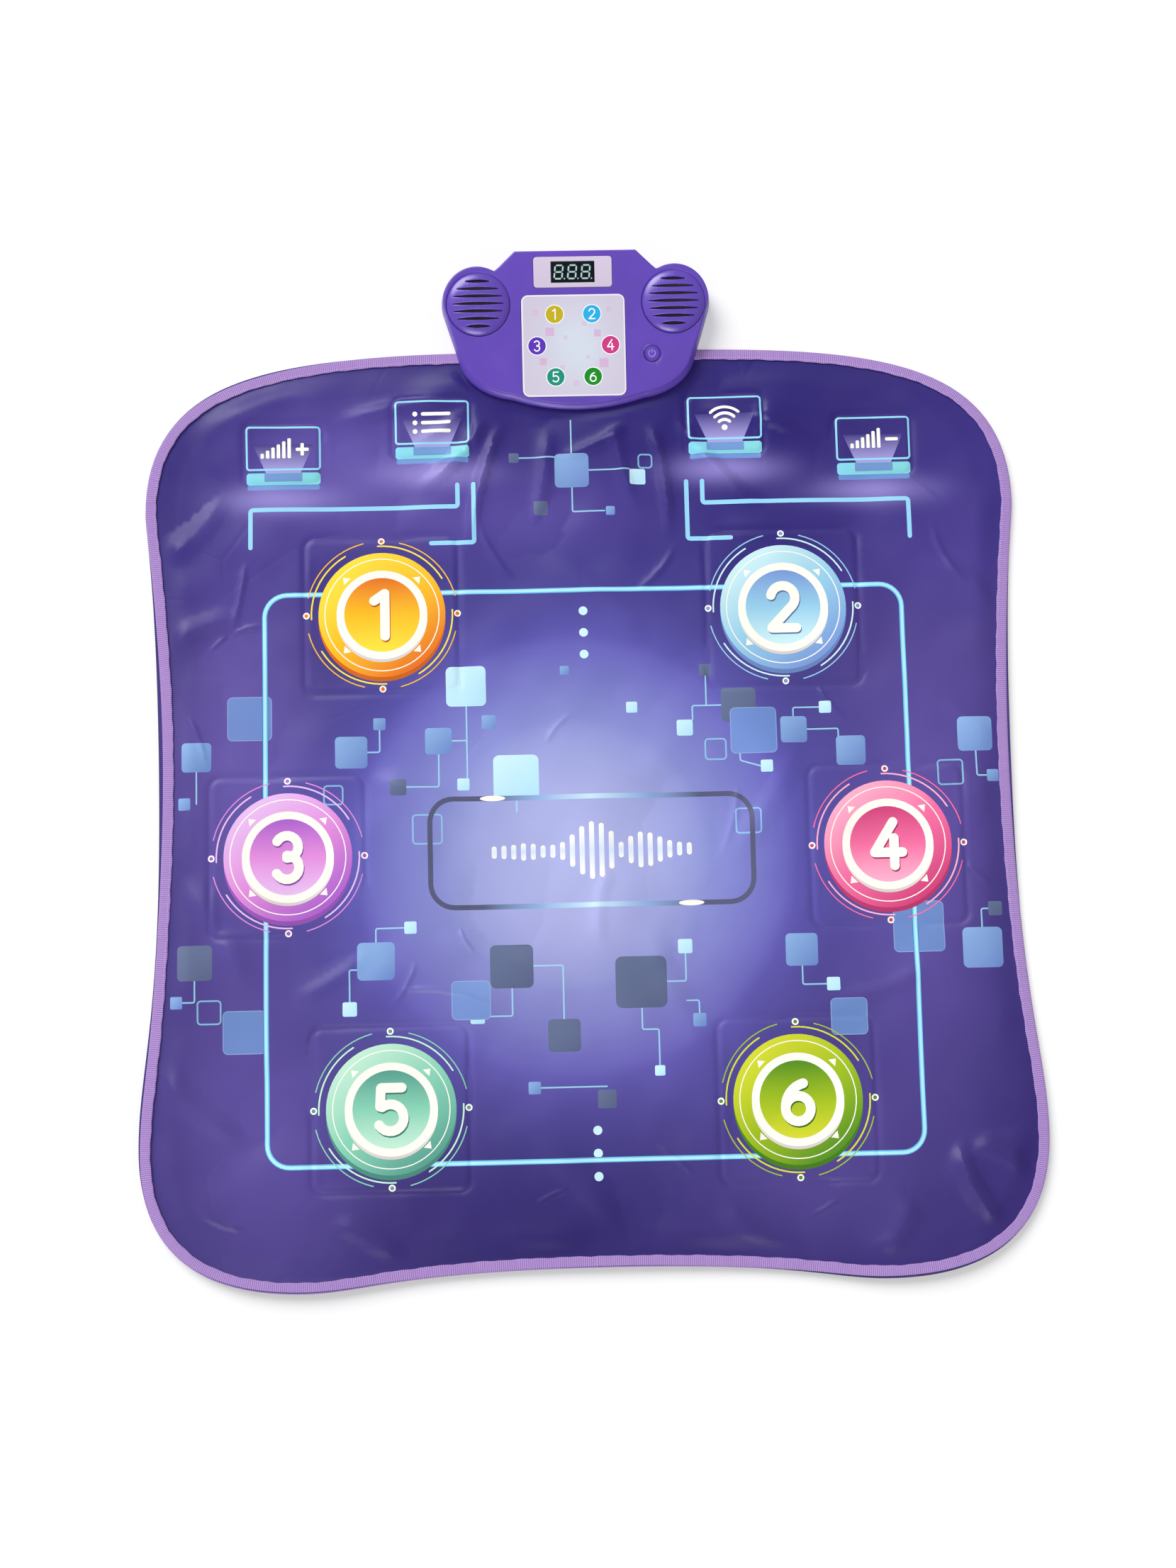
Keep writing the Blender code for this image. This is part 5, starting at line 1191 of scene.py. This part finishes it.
def foam_layer():
    """Foam between the film and the sheet, with windows for the pads, the cable and the clamp plate."""
    edge = inset(spaced(MAT_LINE, 9 * MM), 1.4 * MM)
    plate_window = rounded((0, 415.0 * MM), (112.6 * MM, 20.6 * MM), 3.3 * MM, 4)
    cable_window = rounded((0, CONSOLE_Y + 33.15 * MM), (18.4 * MM, 10.7 * MM), 0.5 * MM, 2)
    openings = windows() + [plate_window, cable_window]

    def keep(middle):
        return inside(middle, edge) & ~in_any(middle, openings)
    points, triangles = plan([edge] + openings, inside_edge(edge, 11 * MM), keep)
    around = [(x * MM, y * MM) for x in (-6, 0, 6) for y in (-6, 0, 6)]
    top = np.min([sheet_height(points + s) for s in around], axis=0) - SHEET_THICKNESS - LAYER_GAP
    bottom = np.minimum(CORE_BOTTOM + lie(points), top - 0.5 * MM)
    obj = shell("foam_layer", points, triangles, top, bottom, FOAM)
    return piece(obj, "mat", "foam_white", "foam_core")


def film_layer():
    """Circuit film: two silver electrodes of comb fingers under each pad, and their runs up to the cable."""
    edge = inset(spaced(MAT_LINE, 16 * MM), 18 * MM)
    silver, carbon, clear = srgb(170, 172, 176), srgb(74, 76, 82), srgb(206, 212, 218)
    margin = 6 * MM
    art = []
    for k, (name, c, size, _) in enumerate(zones()):
        wide, high = size[0] * 0.62, size[1] * 0.62
        fingers = 9 if name.startswith("step") else 5
        for i in range(fingers):
            y = c[1] + high * (i / (fingers - 1) - 0.5)
            shift, ink = (3 * MM, carbon) if i % 2 else (-3 * MM, silver)
            art.append(([rounded((c[0] + shift, y), (wide, 2.6 * MM), 1.2 * MM, 3)], flat(ink)))
        around = (wide + 2 * margin, high + 2 * margin)
        art.append((frame_line(c, around, margin, 1.6 * MM, 4), flat(silver)))
        side = 1 if c[0] > 0 else -1
        entry = c[0] - side * (wide / 2 + margin)
        upward = side * (12 * MM + 2.4 * MM * k)
        lane = (k - 4.5) * 1.5 * MM
        path = [(entry, c[1]), (upward, c[1]), (upward, 392 * MM), (lane, 400 * MM), (lane, 436 * MM)]
        art.append(([stroke(bent(path, 3 * MM), 0.9 * MM, 4)], flat(silver)))
    loops = [loop for shape, _ in art for loop in shape]
    points, triangles = plan([edge] + loops, NO_POINTS, lambda middle: inside(middle, edge))
    lift = lie(points)
    obj = shell("circuit_film_sheet", points, triangles, FILM_TOP + lift, FILM_BOTTOM + lift, FILM_INK,
                paint=paint_with(art, flat(clear)))
    piece(obj, "mat", "circuit_film", "circuit_film")
    return obj


def backing_sheet():
    """Anti-slip base sheet under everything: its edge shows past the tape at a few places."""
    edge = inset(spaced(MAT_LINE, 6 * MM), 0.35 * MM)
    free = inside_edge(edge, 10 * MM)
    points, triangles = plan([edge], free, lambda middle: inside(middle, edge), 0.3 * MM)
    lift = lie(points)
    obj = shell("backing_sheet", points, triangles, BASE_TOP + lift, lift, BACKING)
    piece(obj, "mat", "anti_slip_grey", "base_sheet")
    return obj


def tape_offset(line):
    """How far the tape's fold lies in from the mat's edge: a few millimetres where the backing shows."""
    x, y = line.T / MM
    left = np.where(x < -300, np.exp(-((y - 60) / 150) ** 2) * 4.4 + np.exp(-((y + 260) / 90) ** 2) * 2.0, 0)
    corner = 2.2 * np.exp(-((x + 310) / 100) ** 2 - ((y - 420) / 60) ** 2)
    low = 1.8 * np.exp(-((x - 300) / 120) ** 2 - ((y + 460) / 50) ** 2)
    right = np.where(x > 300, np.exp(-((y - 60) / 150) ** 2) * 2.6, 0)
    return (0.1 + left + corner + low + right) * MM


def edge_tape():
    """The tape's section carried along the edge: from the inner edge below, round the fold, to that above.
    Ribs rise at every other step, sines pucker it, and a seeded draw makes its inner edge uneven."""
    line = spaced(MAT_LINE, RIB_PITCH / 2)
    line = line[:len(line) // 2 * 2]
    normal = inwards(line)
    step = float(np.hypot(*(line[1] - line[0])))
    along = np.arange(len(line)) * step
    t, w, low, high = TAPE_THICKNESS, TAPE_WIDTH, TAPE_BOTTOM, TAPE_TOP
    mid, half = (low + high) / 2, (high - low) / 2
    angles = np.radians((-75, -45, 0, 45, 75))
    turn = [(1.5 * MM * (1 - math.cos(a)), mid + half * math.sin(a)) for a in angles]
    above = [(x, high) for x in (3.5 * MM, 6.5 * MM, 9.2 * MM, w - 0.3 * MM)] + [(w, high - 0.25 * MM)]
    outer = [(w, low), (5 * MM, low)] + turn + above
    fold_x, drop = t + 0.5 * MM, 0.6 * MM
    inner = [(w, high - t), (3 * MM, high - t), (fold_x, high - t - drop)]
    inner += [(fold_x, low + t + drop), (3 * MM, low + t), (w, low + t)]
    section = np.array(outer + inner)
    section[:, 1] += TAPE_RISE * np.maximum(section[:, 0] - TAPE_RISE_FROM, 0) * (section[:, 1] > mid)
    reach, level = section[:, 0], section[:, 1]
    rng = np.random.default_rng(5)
    every_other = np.where(np.arange(len(line)) % 2, 1, -1)
    round_once = along * 2 * math.pi
    sway = 0.25 * np.sin(round_once / 0.043) + 0.2 * np.sin(round_once / 0.0187 + 1)
    ragged = sway + 0.14 * every_other + rng.uniform(-0.1, 0.1, len(line))
    depth = reach + tape_offset(line)[:, None] + ragged[:, None] * MM * (reach > 8 * MM)
    outside = np.arange(len(section)) < len(outer)
    ribs = RIB_HEIGHT * every_other[:, None] * (outside & (level > mid) & (reach > 1 * MM))
    pucker = PUCKER_HEIGHT * np.sin(round_once / 0.0132) * (0.6 + 0.4 * np.sin(round_once / 0.31))
    place = line[:, None] + normal[:, None] * depth[..., None]
    lift = lie(line + normal * 5 * MM)[:, None] * np.ones(len(section))
    height = level + ribs + pucker[:, None] * ((level > mid) & (reach > 4 * MM)) + lift
    rows, columns = depth.shape
    corners = np.concatenate([place, height[..., None]], 2).reshape(-1, 3)
    i, j = np.meshgrid(np.arange(rows), np.arange(columns), indexing="ij")
    i2, j2 = (i + 1) % rows, (j + 1) % columns
    faces = np.stack([i * columns + j, i2 * columns + j, i2 * columns + j2, i * columns + j2], -1)
    faces = faces.reshape(-1, 4)
    obj = add_object("edge_tape", corners, faces.tolist(), TAPE, 50)
    girth = np.concatenate([[0], np.cumsum(np.hypot(*np.diff(section, axis=0).T))])
    girth = np.append(girth, girth[-1] + t)
    u = np.stack([along[i], along[i] + step, along[i] + step, along[i]], -1)
    v = np.stack([girth[j], girth[j], girth[j + 1], girth[j + 1]], -1)
    obj.data.uv_layers.new(name="run").data.foreach_set("uv", np.stack([u, v], -1).astype(np.float32).ravel())
    return piece(obj, "mat", "binding_tape", "edge_binding"), float(along[-1] + step)


def stitches():
    """Short threads in a row: a capsule along the line, bent down at both ends, repeated at every stitch."""
    line = spaced(MAT_LINE, STITCH_PITCH)
    normal = inwards(line)
    tangent = np.stack([normal[:, 1], -normal[:, 0]], 1)
    centre = line + normal * (STITCH_INSET + tape_offset(line))[:, None]
    t = np.linspace(-1, 1, 5)
    a = np.radians(np.arange(0, 360, 60))
    radius = THREAD_RADIUS * np.sqrt(np.maximum(1 - t ** 6, 0.02))
    length, side = t * STITCH_HALF, np.cos(a)[None] * radius[:, None]
    rise = np.sin(a)[None] * radius[:, None] - STITCH_SINK * (t ** 4)[:, None]
    xy = (centre[:, None, None] + tangent[:, None, None] * length[None, :, None, None]
          + normal[:, None, None] * side[None, :, :, None])
    lift = lie(centre)[:, None, None]
    on_tape = TAPE_TOP + TAPE_RISE * 6.1 * MM + 0.12 * MM
    made = []
    for level, flip in ((on_tape, 1), (-0.02 * MM, -1)):
        z = level + lift + flip * rise[None] * np.ones(xy.shape[:-1])
        made.append(np.concatenate([xy, z[..., None]], 3))
    corners = np.concatenate(made)
    count, n, m = corners.shape[:3]
    base = (np.arange(count) * n * m)[:, None]
    i, j = np.meshgrid(np.arange(n - 1), np.arange(m), indexing="ij")
    k = (j + 1) % m
    tube = np.stack([i * m + j, i * m + k, (i + 1) * m + k, (i + 1) * m + j], -1).reshape(-1, 4)
    quads = (base[:, None] + tube[None]).reshape(-1, 4)
    caps = np.stack([np.arange(m)[::-1], (n - 1) * m + np.arange(m)])
    ends = (base[:, None] + caps[None]).reshape(-1, m)
    obj = add_object("tape_stitches", corners.reshape(-1, 3), quads.tolist() + ends.tolist(), THREAD, 60)
    recalculate(obj)
    return piece(obj, "mat", "binding_tape")


def recalculate(obj):
    """Joins corners in one place and turns every face outwards."""
    body = bmesh.new()
    body.from_mesh(obj.data)
    bmesh.ops.remove_doubles(body, verts=body.verts, dist=1e-7)
    bmesh.ops.recalc_face_normals(body, faces=body.faces)
    body.to_mesh(obj.data)
    body.free()


def build_mat():
    """Every piece of the mat."""
    sheet, area = printed_sheet()
    tape, length = edge_tape()
    threads = stitches()
    backing_sheet()
    film_layer()
    foam_layer()
    for name, centre, size, corner in zones():
        patch = pad_patch(name, centre, size, corner)
        pad_spacer(name, centre, size)


# The console

def smoothing_group():
    """Geometry nodes that merge doubles and shade a mesh smooth."""
    group = bpy.data.node_groups.get("merge_and_smooth")
    if group is None:
        group = bpy.data.node_groups.new("merge_and_smooth", "GeometryNodeTree")
        for direction in ("INPUT", "OUTPUT"):
            group.interface.new_socket("Geometry", in_out=direction, socket_type="NodeSocketGeometry")
        kinds = ("NodeGroupInput", "GeometryNodeMergeByDistance", "GeometryNodeSetMeshNormal",
                 "GeometryNodeSetShadeSmooth", "NodeGroupOutput")
        chain = [group.nodes.new(kind) for kind in kinds]
        chain[1].inputs["Distance"].default_value = 0.01 * MM
        for a, b in zip(chain, chain[1:]):
            group.links.new(a.outputs[0], b.inputs[0])
    return group


def soften(name, finish, width=0.25 * MM):
    """A node of the frame in a finish: its doubles merged, its edges rounded and its round faces smooth."""
    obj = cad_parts[name]
    obj.modifiers.new("merge", "NODES").node_group = smoothing_group()
    if width:
        bevel = obj.modifiers.new("edges", "BEVEL")
        bevel.width, bevel.segments, bevel.limit_method = width, 2, "ANGLE"
        bevel.angle_limit, bevel.harden_normals = math.radians(38), True
        bevel.use_clamp_overlap = True
    obj.data.materials.clear()
    obj.data.materials.append(finish)


PANEL_SQUARES = [
    # x, y, size
    (-24, 14, 8.5), (-31, -16, 7), (24, 12, 7), (30, -18, 9), (-12, -22, 5), (11, 22, 5),
    (-38, 33, 6), (36, 36, 5), (2, -38, 6), (14, -12, 4), (-8, 8, 4),
]
PANEL_ROWS = [(18.8, 31.5), (37.0, 0.0), (18.8, -31.5)]
PANEL_TONES = [(196, 176, 24), (36, 176, 232), (92, 50, 182), (206, 58, 132), (20, 146, 122), (16, 142, 30)]


def panel_print():
    """Six numbered circles with white rings, pale squares about them and a light rim."""
    c = np.array(PANEL_CENTRE)
    rim_white, white, pink = srgb(240, 238, 246), srgb(250, 250, 252), srgb(216, 170, 212)
    outer, inner = 9.7 * MM, 8.8 * MM
    number_height, number_width = 11.0 * MM, 1.3 * MM
    rim = frame_line(c, (PANEL_SIZE[0] - 0.8 * MM, PANEL_SIZE[1] - 0.8 * MM), 6.6 * MM, 1.2 * MM, 8)
    art = [(rim, flat(rim_white))]
    for x, y, size in PANEL_SQUARES:
        share = 0.75 if size > 6.5 else 0.4
        art.append(([tile(c + np.array((x, y)) * MM, size, 0.4, 2)], veil(pink, share, panel_ground)))
    places = [(side * x, y) for x, y in PANEL_ROWS for side in (-1, 1)]
    for k, (x, y) in enumerate(places):
        spot = c + np.array((x, y)) * MM
        art.append(([circle(spot, outer, 48)], flat(white)))
        art.append(([circle(spot, inner, 44)], flat(srgb(*PANEL_TONES[k]))))
        art += [([line], flat(white)) for line in digit(k + 1, spot, number_height, number_width)]
    return art


def panel_ground(points):
    """Pale lilac with a cool light in the middle."""
    share = 0.9 * bell(points - np.array(PANEL_CENTRE), (3, 0), (30, 36))[:, None]
    edge, middle = srgb(208, 200, 219), srgb(214, 226, 238)
    return edge + (middle - edge) * share


def plate(name, edge, art, under, top, bottom, edge_round, finish, opening=None):
    """A flat plate on the deck's slope, its rim and its opening's rim rolled, with a print on its face."""
    shares = (0.3, 1.0, 1.5, 2.2)
    holes = [] if opening is None else [opening]
    rings = [inset(edge, edge_round * share) for share in shares]
    inner = [inset(hole, -edge_round * share) for hole in holes for share in shares]
    shapes = [loop for loops, _ in art for loop in loops]

    def keep(middle):
        return inside(middle, edge) & ~in_any(middle, holes)
    points, triangles = plan([edge] + rings + holes + inner + shapes, NO_POINTS, keep, 0.05 * MM)
    heights = top - rolled(nearest(points, [edge] + holes), edge_round)
    return shell(name, points, triangles, heights, np.full(len(points), bottom), finish, on_deck,
                 paint_with(art, under), smooth=50)


def segments():
    """Seven slim bars and a point for each of the three figures, leaning a little, unlit."""
    figure = srgb(170, 204, 202)
    lean = math.tan(math.radians(6))
    w, h, gap, half_width = 3.9 * MM, 6.7 * MM, 0.55 * MM, 0.8
    bars = [((-w + gap, y), (w - gap, y)) for y in (h, 0, -h)]
    bars += [((x, gap), (x, h - gap)) for x in (-w, w)]
    bars += [((x, -h + gap), (x, -gap)) for x in (-w, w)]
    art = []
    for k in (-1, 0, 1):
        middle = np.array(BEZEL_CENTRE) + ((13.6 * k - 0.6) * MM, 0)
        for bar in bars:
            a, b = np.array(bar, float)
            a[0] += a[1] * lean
            b[0] += b[1] * lean
            d = (b - a) / np.hypot(*(b - a))
            tip, n = d * half_width * MM, np.array((-d[1], d[0])) * half_width * MM
            outline = [a, a + tip - n, b - tip - n, b, b - tip + n, a + tip + n]
            art.append(([middle + np.array(outline)], flat(figure)))
        art.append(([circle(middle + (w + 1.9 * MM, -h), 0.75 * MM, 16)], flat(figure)))
    return art


def grille(hand, side):
    """A domed disc cut by seven lens slots: its height falls round a shoulder, and rolls in at every slot."""
    centre = np.array((side * GRILLE_CENTRE[0], GRILLE_CENTRE[1]))
    radius, rise, foot, rim = 31.6 * MM, 5.6 * MM, -0.5 * MM, 0.5 * MM
    slots, pitch, field, slot_roll = 7, 7.5, 25.4 * MM, 0.7 * MM
    shares = (1.0, 0.999, 0.995, 0.988, 0.975, 0.955, 0.93, 0.9, 0.86, 0.81, 0.75)
    loops, holes = [circle(centre, radius * share, 96) for share in shares], []
    for row in range(slots):
        y = (row - slots // 2) * pitch * MM
        half = math.sqrt(field ** 2 - y * y)
        s = np.sin(np.linspace(-math.pi / 2, math.pi / 2, 17))
        high = (0.8 + 2.3 * (1 - s * s)) * MM / 2
        lens = np.concatenate([np.stack([half * s, y - high], 1), np.stack([half * s, y + high], 1)[::-1]])
        holes.append(lens + centre)
        for grow in (0.35 * MM, 0.9 * MM):
            wide = lens * ((half + grow) / half, 1) + np.sign(lens - (0, y)) * (0, grow)
            loops.append(wide + centre)
    free = lattice(centre - radius, centre + radius, 2.2 * MM)
    free = free[np.hypot(*(free - centre).T) < radius - 1 * MM]

    def keep(middle):
        return (np.hypot(*(middle - centre).T) < radius - 0.01 * MM) & ~in_any(middle, holes)
    points, triangles = plan(loops + holes, free, keep, 0.15 * MM)
    r = np.hypot(*(points - centre).T)
    dome = foot + rim + rise * np.maximum(1 - (r / radius) ** 3, 0) ** 0.6
    top = dome - rolled(nearest(points, holes), slot_roll)
    top[r > radius - 0.02 * MM] = foot + rim
    bottom = np.maximum(np.minimum(dome - 1.8 * MM, top - 0.6 * MM), foot)
    bottom[r > radius - 2.0 * MM] = foot
    obj = shell(f"grille_{hand}", points, triangles, top, bottom, GRILLE_PURPLE, on_deck, smooth=55)
    return piece(obj, "mat", "console_purple", f"speaker_grille_{hand}")


def power_button():
    """A round button: a dished face with a raised ring and the on and off sign, a skirt and a flange. Its
    outer rim and skirt are darkened as a painted shadow of the gap round it.
    """
    r = np.concatenate([np.linspace(0, 7.4, 38), [7.6, 7.8, 7.95, 8.1, 8.2]]) * MM
    a = np.radians(np.arange(0, 360, 3.0))
    x, y = r[:, None] * np.cos(a), r[:, None] * np.sin(a)
    over = np.stack([x.ravel(), y.ravel()], 1)
    level, dish, sign_rise, groove, ring_rise, edge_drop = np.array((0.42, 0.15, 0.3, 0.6, 0.2, 0.5)) * MM
    height = level - dish * ease(1 - r / (6.0 * MM))
    height = np.repeat(height[:, None], len(a), 1)
    bow = arc((0, 0), 3.3 * MM, 125, 415, 30)
    bar = np.array([(0, 0.9 * MM), (0, 4.2 * MM)])
    sign = np.minimum(away(over, bow, False), away(over, bar, False)).reshape(x.shape)
    ink = 1 - ease((sign - 0.35 * MM) / (0.25 * MM))
    height += sign_rise * ink
    height -= groove * np.exp(-((r - 6.65 * MM) / (0.3 * MM)) ** 2)[:, None]
    height += ring_rise * np.exp(-((r - 7.4 * MM) / (0.4 * MM)) ** 2)[:, None]
    edge = np.clip((r - 7.6 * MM) / (0.6 * MM), 0, 1)[:, None]
    height -= edge_drop * (1 - np.sqrt(np.maximum(1 - edge ** 2, 0)))
    skirt_r = np.array([8.2, 8.2, 9.6, 9.6, 0.0])[:, None] * MM
    skirt_z = np.array([-1.0, -2.6, -2.6, -3.4, -3.4])[:, None] * MM
    skirt = np.stack([skirt_r * np.cos(a), skirt_r * np.sin(a), np.repeat(skirt_z, len(a), 1)], 2)
    rows = np.concatenate([np.stack([x, y, height], 2), skirt])
    n, m = rows.shape[:2]
    whole = rows.reshape(-1, 3)
    corners = on_deck(whole[:, :2] + np.array(BUTTON_CENTRE), whole[:, 2])
    i, j = np.meshgrid(np.arange(n - 1), np.arange(m), indexing="ij")
    k = (j + 1) % m
    faces = np.stack([i * m + j, (i + 1) * m + j, (i + 1) * m + k, i * m + k], -1).reshape(-1, 4)
    # painted shadow: beyond 7.5 mm and on the skirt the colour is cut to 0.3, standing in for the shade in
    # the gap round the button
    shade = np.concatenate([np.where(r > 7.5 * MM, 0.3, 1.0), np.full(len(skirt), 0.3)])
    shade = np.repeat(shade, m)[:, None]
    ink = np.concatenate([ink, np.zeros((len(skirt), m))]).ravel()[:, None]
    face, sign_tone = srgb(98, 68, 184), srgb(158, 138, 224)
    colours = ((face + (sign_tone - face) * ink) * shade)[faces].reshape(-1, 3)
    obj = add_object("power_button_cap", corners, faces.tolist(), BUTTON_INK, 40, colours)
    recalculate(obj)
    return piece(obj, "power_button", "console_purple", "power_button")


def console_cover():
    """The cover over its plan: drawn-in walls, a rolled edge and the sloping deck with its openings."""
    line = CONSOLE_LINE
    distances = (0.2, 0.6, 1.2, 1.9, 2.3, 2.6, 2.9, 3.3, 3.8, 4.2, 4.6, 5.2, 5.8)
    loops = [line] + [inset(line, distance * MM) for distance in distances]
    c = math.cos(DECK_SLOPE)

    def down(loop):
        return np.stack([loop[:, 0], CONSOLE_Y + loop[:, 1] * c], 1)
    gap = 0.3 * MM
    openings = [rounded(PANEL_CENTRE, (PANEL_SIZE[0] + 2 * gap, PANEL_SIZE[1] + 2 * gap), 7.3 * MM, 8),
                rounded(BEZEL_CENTRE, (BEZEL_SIZE[0] + 2 * gap, BEZEL_SIZE[1] + 2 * gap), 3.5 * MM, 6),
                circle(BUTTON_CENTRE, 8.5 * MM, 56)]
    ears = [circle((side * GRILLE_CENTRE[0], GRILLE_CENTRE[1]), 31.9 * MM, 96) for side in (-1, 1)]
    openings += ears
    holes = [down(opening) for opening in openings]
    lips = [down(inset(opening, -by * MM)) for opening in openings for by in (0.2, 0.5, 0.75)]
    lips += [down(inset(ear, -by * MM)) for ear in ears for by in (1.0, 1.2, 1.4, 1.8)]
    groove_radius, groove_depth = 9.7 * MM, 0.25 * MM
    groove = [down(circle(BUTTON_CENTRE, r * MM, 56)) for r in (9.3, 9.7, 10.1)]
    free = lattice(line.min(0), line.max(0), 7 * MM)
    free = free[inside(free, loops[-1])]

    def keep(middle):
        return inside(middle, line) & ~in_any(middle, holes)
    points, triangles = plan(loops + holes + lips + groove, free, keep, 0.12 * MM)
    d = away(points, line)
    deck = DECK_Z + (points[:, 1] - CONSOLE_Y) * math.tan(DECK_SLOPE)
    foot, shoulder, thickness = 9.9 * MM, 1.3 * MM, 2.3 * MM
    wide = (2.2 + 1.6 * ease((CONSOLE_Y + 80 * MM - points[:, 1]) / (40 * MM))) * MM
    wall = foot + (deck - shoulder - foot) * np.clip(d / wide, 0, 1) ** 0.45
    top = np.where(d < wide, wall, deck - rolled(d - wide, 2.0 * MM, shoulder))
    at_ear = (np.abs(points[:, 0]) > 64 * MM) * (points[:, 1] > CONSOLE_Y + 68 * MM)
    top -= rolled(nearest(points, holes), (0.5 + 0.9 * at_ear) * MM)
    spot = down(np.array([BUTTON_CENTRE]))[0]
    top -= groove_depth * np.exp(-((np.hypot(*(points - spot).T) - groove_radius) / (0.3 * MM)) ** 2)
    bottom = np.where(d < 2.0 * MM, foot, np.minimum(deck - thickness, top - 0.5 * MM))
    bottom = np.minimum(bottom, top - 0.01 * MM)
    obj = shell("console_cover", points, triangles, top, bottom, PURPLE, smooth=32)
    return piece(obj, "mat", "console_purple", "upper_shell")


def build_plates():
    """The panel, the bezel with its opening, and the display module, which reaches down to its board."""
    foot = -0.9 * MM
    edge = rounded(PANEL_CENTRE, PANEL_SIZE, 7 * MM, 8)
    panel = plate("indicator_plate", edge, panel_print(), panel_ground,
                  top=0.4 * MM, bottom=foot, edge_round=0.4 * MM, finish=PANEL_INK)
    piece(panel, "mat", "panel_pale", "indicator_panel")
    middle = np.array(BEZEL_CENTRE)
    opening = rounded(BEZEL_CENTRE, (DISPLAY_SIZE[0] + 0.6 * MM, DISPLAY_SIZE[1] + 0.6 * MM), 0.4 * MM, 2)
    sweep = fade(middle + (0, 15 * MM), middle - (0, 15 * MM), srgb(214, 200, 222), srgb(208, 194, 217))
    bezel = plate("bezel_plate", rounded(BEZEL_CENTRE, BEZEL_SIZE, 3.2 * MM, 6), [], sweep,
                  top=0.5 * MM, bottom=foot, edge_round=0.45 * MM, finish=PANEL_INK, opening=opening)
    piece(bezel, "mat", "panel_pale", "display_bezel")
    edge = rounded(BEZEL_CENTRE, DISPLAY_SIZE, 0.5 * MM, 2)
    display = plate("display_module", edge, segments(), flat(srgb(16, 20, 27)),
                    top=0.2 * MM, bottom=-7.4 * MM, edge_round=0.2 * MM, finish=LED_INK)
    piece(display, "mat", "display_black", "number_display")


def build_console():
    """The console's own pieces, and the frame's nodes in their finishes."""
    console_cover()
    build_plates()
    for hand, side in (("left", -1), ("right", 1)):
        grille(hand, side)
        soften(f"speaker_frame_{hand}", BLACK)
        soften(f"speaker_cone_{hand}", PAPER, 0.1 * MM)
        soften(f"speaker_magnet_{hand}", MAGNET)
    power_button()
    soften("lower_shell", PURPLE, 0.3 * MM)
    soften("battery_door", PURPLE, 0.15 * MM)
    soften("main_board", BOARD, 0.1 * MM)
    soften("display_board", BOARD, 0.1 * MM)
    soften("flat_cable", AMBER, 0.0)
    soften("clamp_plate", ZINC)
    for name in sorted(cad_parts):
        if "screw" in name:
            soften(name, STEEL, 0.08 * MM)
        elif name.startswith("battery_cell"):
            soften(name, CELL, 0.1 * MM)
        elif name.startswith("battery_contacts"):
            soften(name, NICKEL, 0.05 * MM)


# Floor, light and camera

def build_floor():
    """A wide pale floor: near white to the camera, and it keeps the object's shadow."""
    signs = ((-1, -1), (1, -1), (1, 1), (-1, 1))
    corners = np.array([(x * FLOOR_HALF, y * FLOOR_HALF, FLOOR_LEVEL) for x, y in signs])
    f = Finish("pale_floor", (225, 225, 226), 0.9, Specular_IOR_Level=0.1)
    f.set("Base Color", f.tint(f.noise(1.5), (224, 224, 225), (227, 227, 228)))
    rays = f.node("ShaderNodeLightPath").outputs
    through_others = f.maths("MAXIMUM", rays["Is Glossy Ray"], rays["Is Transmission Ray"])
    seen = f.maths("MAXIMUM", rays["Is Camera Ray"], through_others)
    strength = f.maths("MULTIPLY", seen, FLOOR_GLOW)
    lit = f.node("ShaderNodeEmission", {"Color": (1, 1, 1, 1), "Strength": strength})
    both = f.node("ShaderNodeAddShader", {0: f.shader.outputs[0], 1: lit.outputs[0]})
    f.tree.links.new(both.outputs[0], f.tree.nodes["Material Output"].inputs["Surface"])
    add_object("floor", corners, [[0, 1, 2, 3]], f.material, 0)


def sun(name, place, angle, strength, shadow=True):
    """A broad distant light that shines from a place towards the middle. A fill may cast no shadow."""
    light = bpy.data.lights.new(name, "SUN")
    light.energy, light.angle, light.use_shadow = strength, math.radians(angle), shadow
    obj = bpy.data.objects.new(name, light)
    obj.rotation_euler = (-Vector(place)).to_track_quat("-Z", "Y").to_euler()
    bpy.context.scene.collection.objects.link(obj)


def build_light():
    """A soft window light, a fill from the front and an even world, white to the camera."""
    world = bpy.data.worlds.new("studio")
    bpy.context.scene.world = world
    world.use_nodes = True
    nodes, links = world.node_tree.nodes, world.node_tree.links
    nodes["Background"].inputs["Color"].default_value = (1, 1, 1, 1)
    share = nodes.new("ShaderNodeMapRange")
    share.inputs["To Min"].default_value, share.inputs["To Max"].default_value = AMBIENT, 1.0
    links.new(nodes.new("ShaderNodeLightPath").outputs["Is Camera Ray"], share.inputs["Value"])
    links.new(share.outputs["Result"], nodes["Background"].inputs["Strength"])
    sun("window_light", (-0.85, 1.25, 1.25), 38, 2.6)
    sun("front_fill", (-0.3, -1.4, 1.0), 30, 1.42, shadow=False)


def build_camera():
    """The photo's view: from above and a little towards the player's edge."""
    camera = bpy.data.cameras.new("camera")
    camera.lens, camera.sensor_width, camera.sensor_fit = FOCAL_PIXELS / FRAME_HEIGHT * SENSOR, SENSOR, "AUTO"
    camera.clip_start, camera.clip_end = 0.05, 20
    obj = bpy.data.objects.new("camera", camera)
    obj.location = CAMERA_PLACE
    obj.rotation_euler = [math.radians(a) for a in CAMERA_TURN]
    bpy.context.scene.collection.objects.link(obj)
    bpy.context.scene.camera = obj
    bpy.context.scene.view_settings.view_transform = "Standard"


build_mat()
build_console()
build_floor()
build_light()
build_camera()
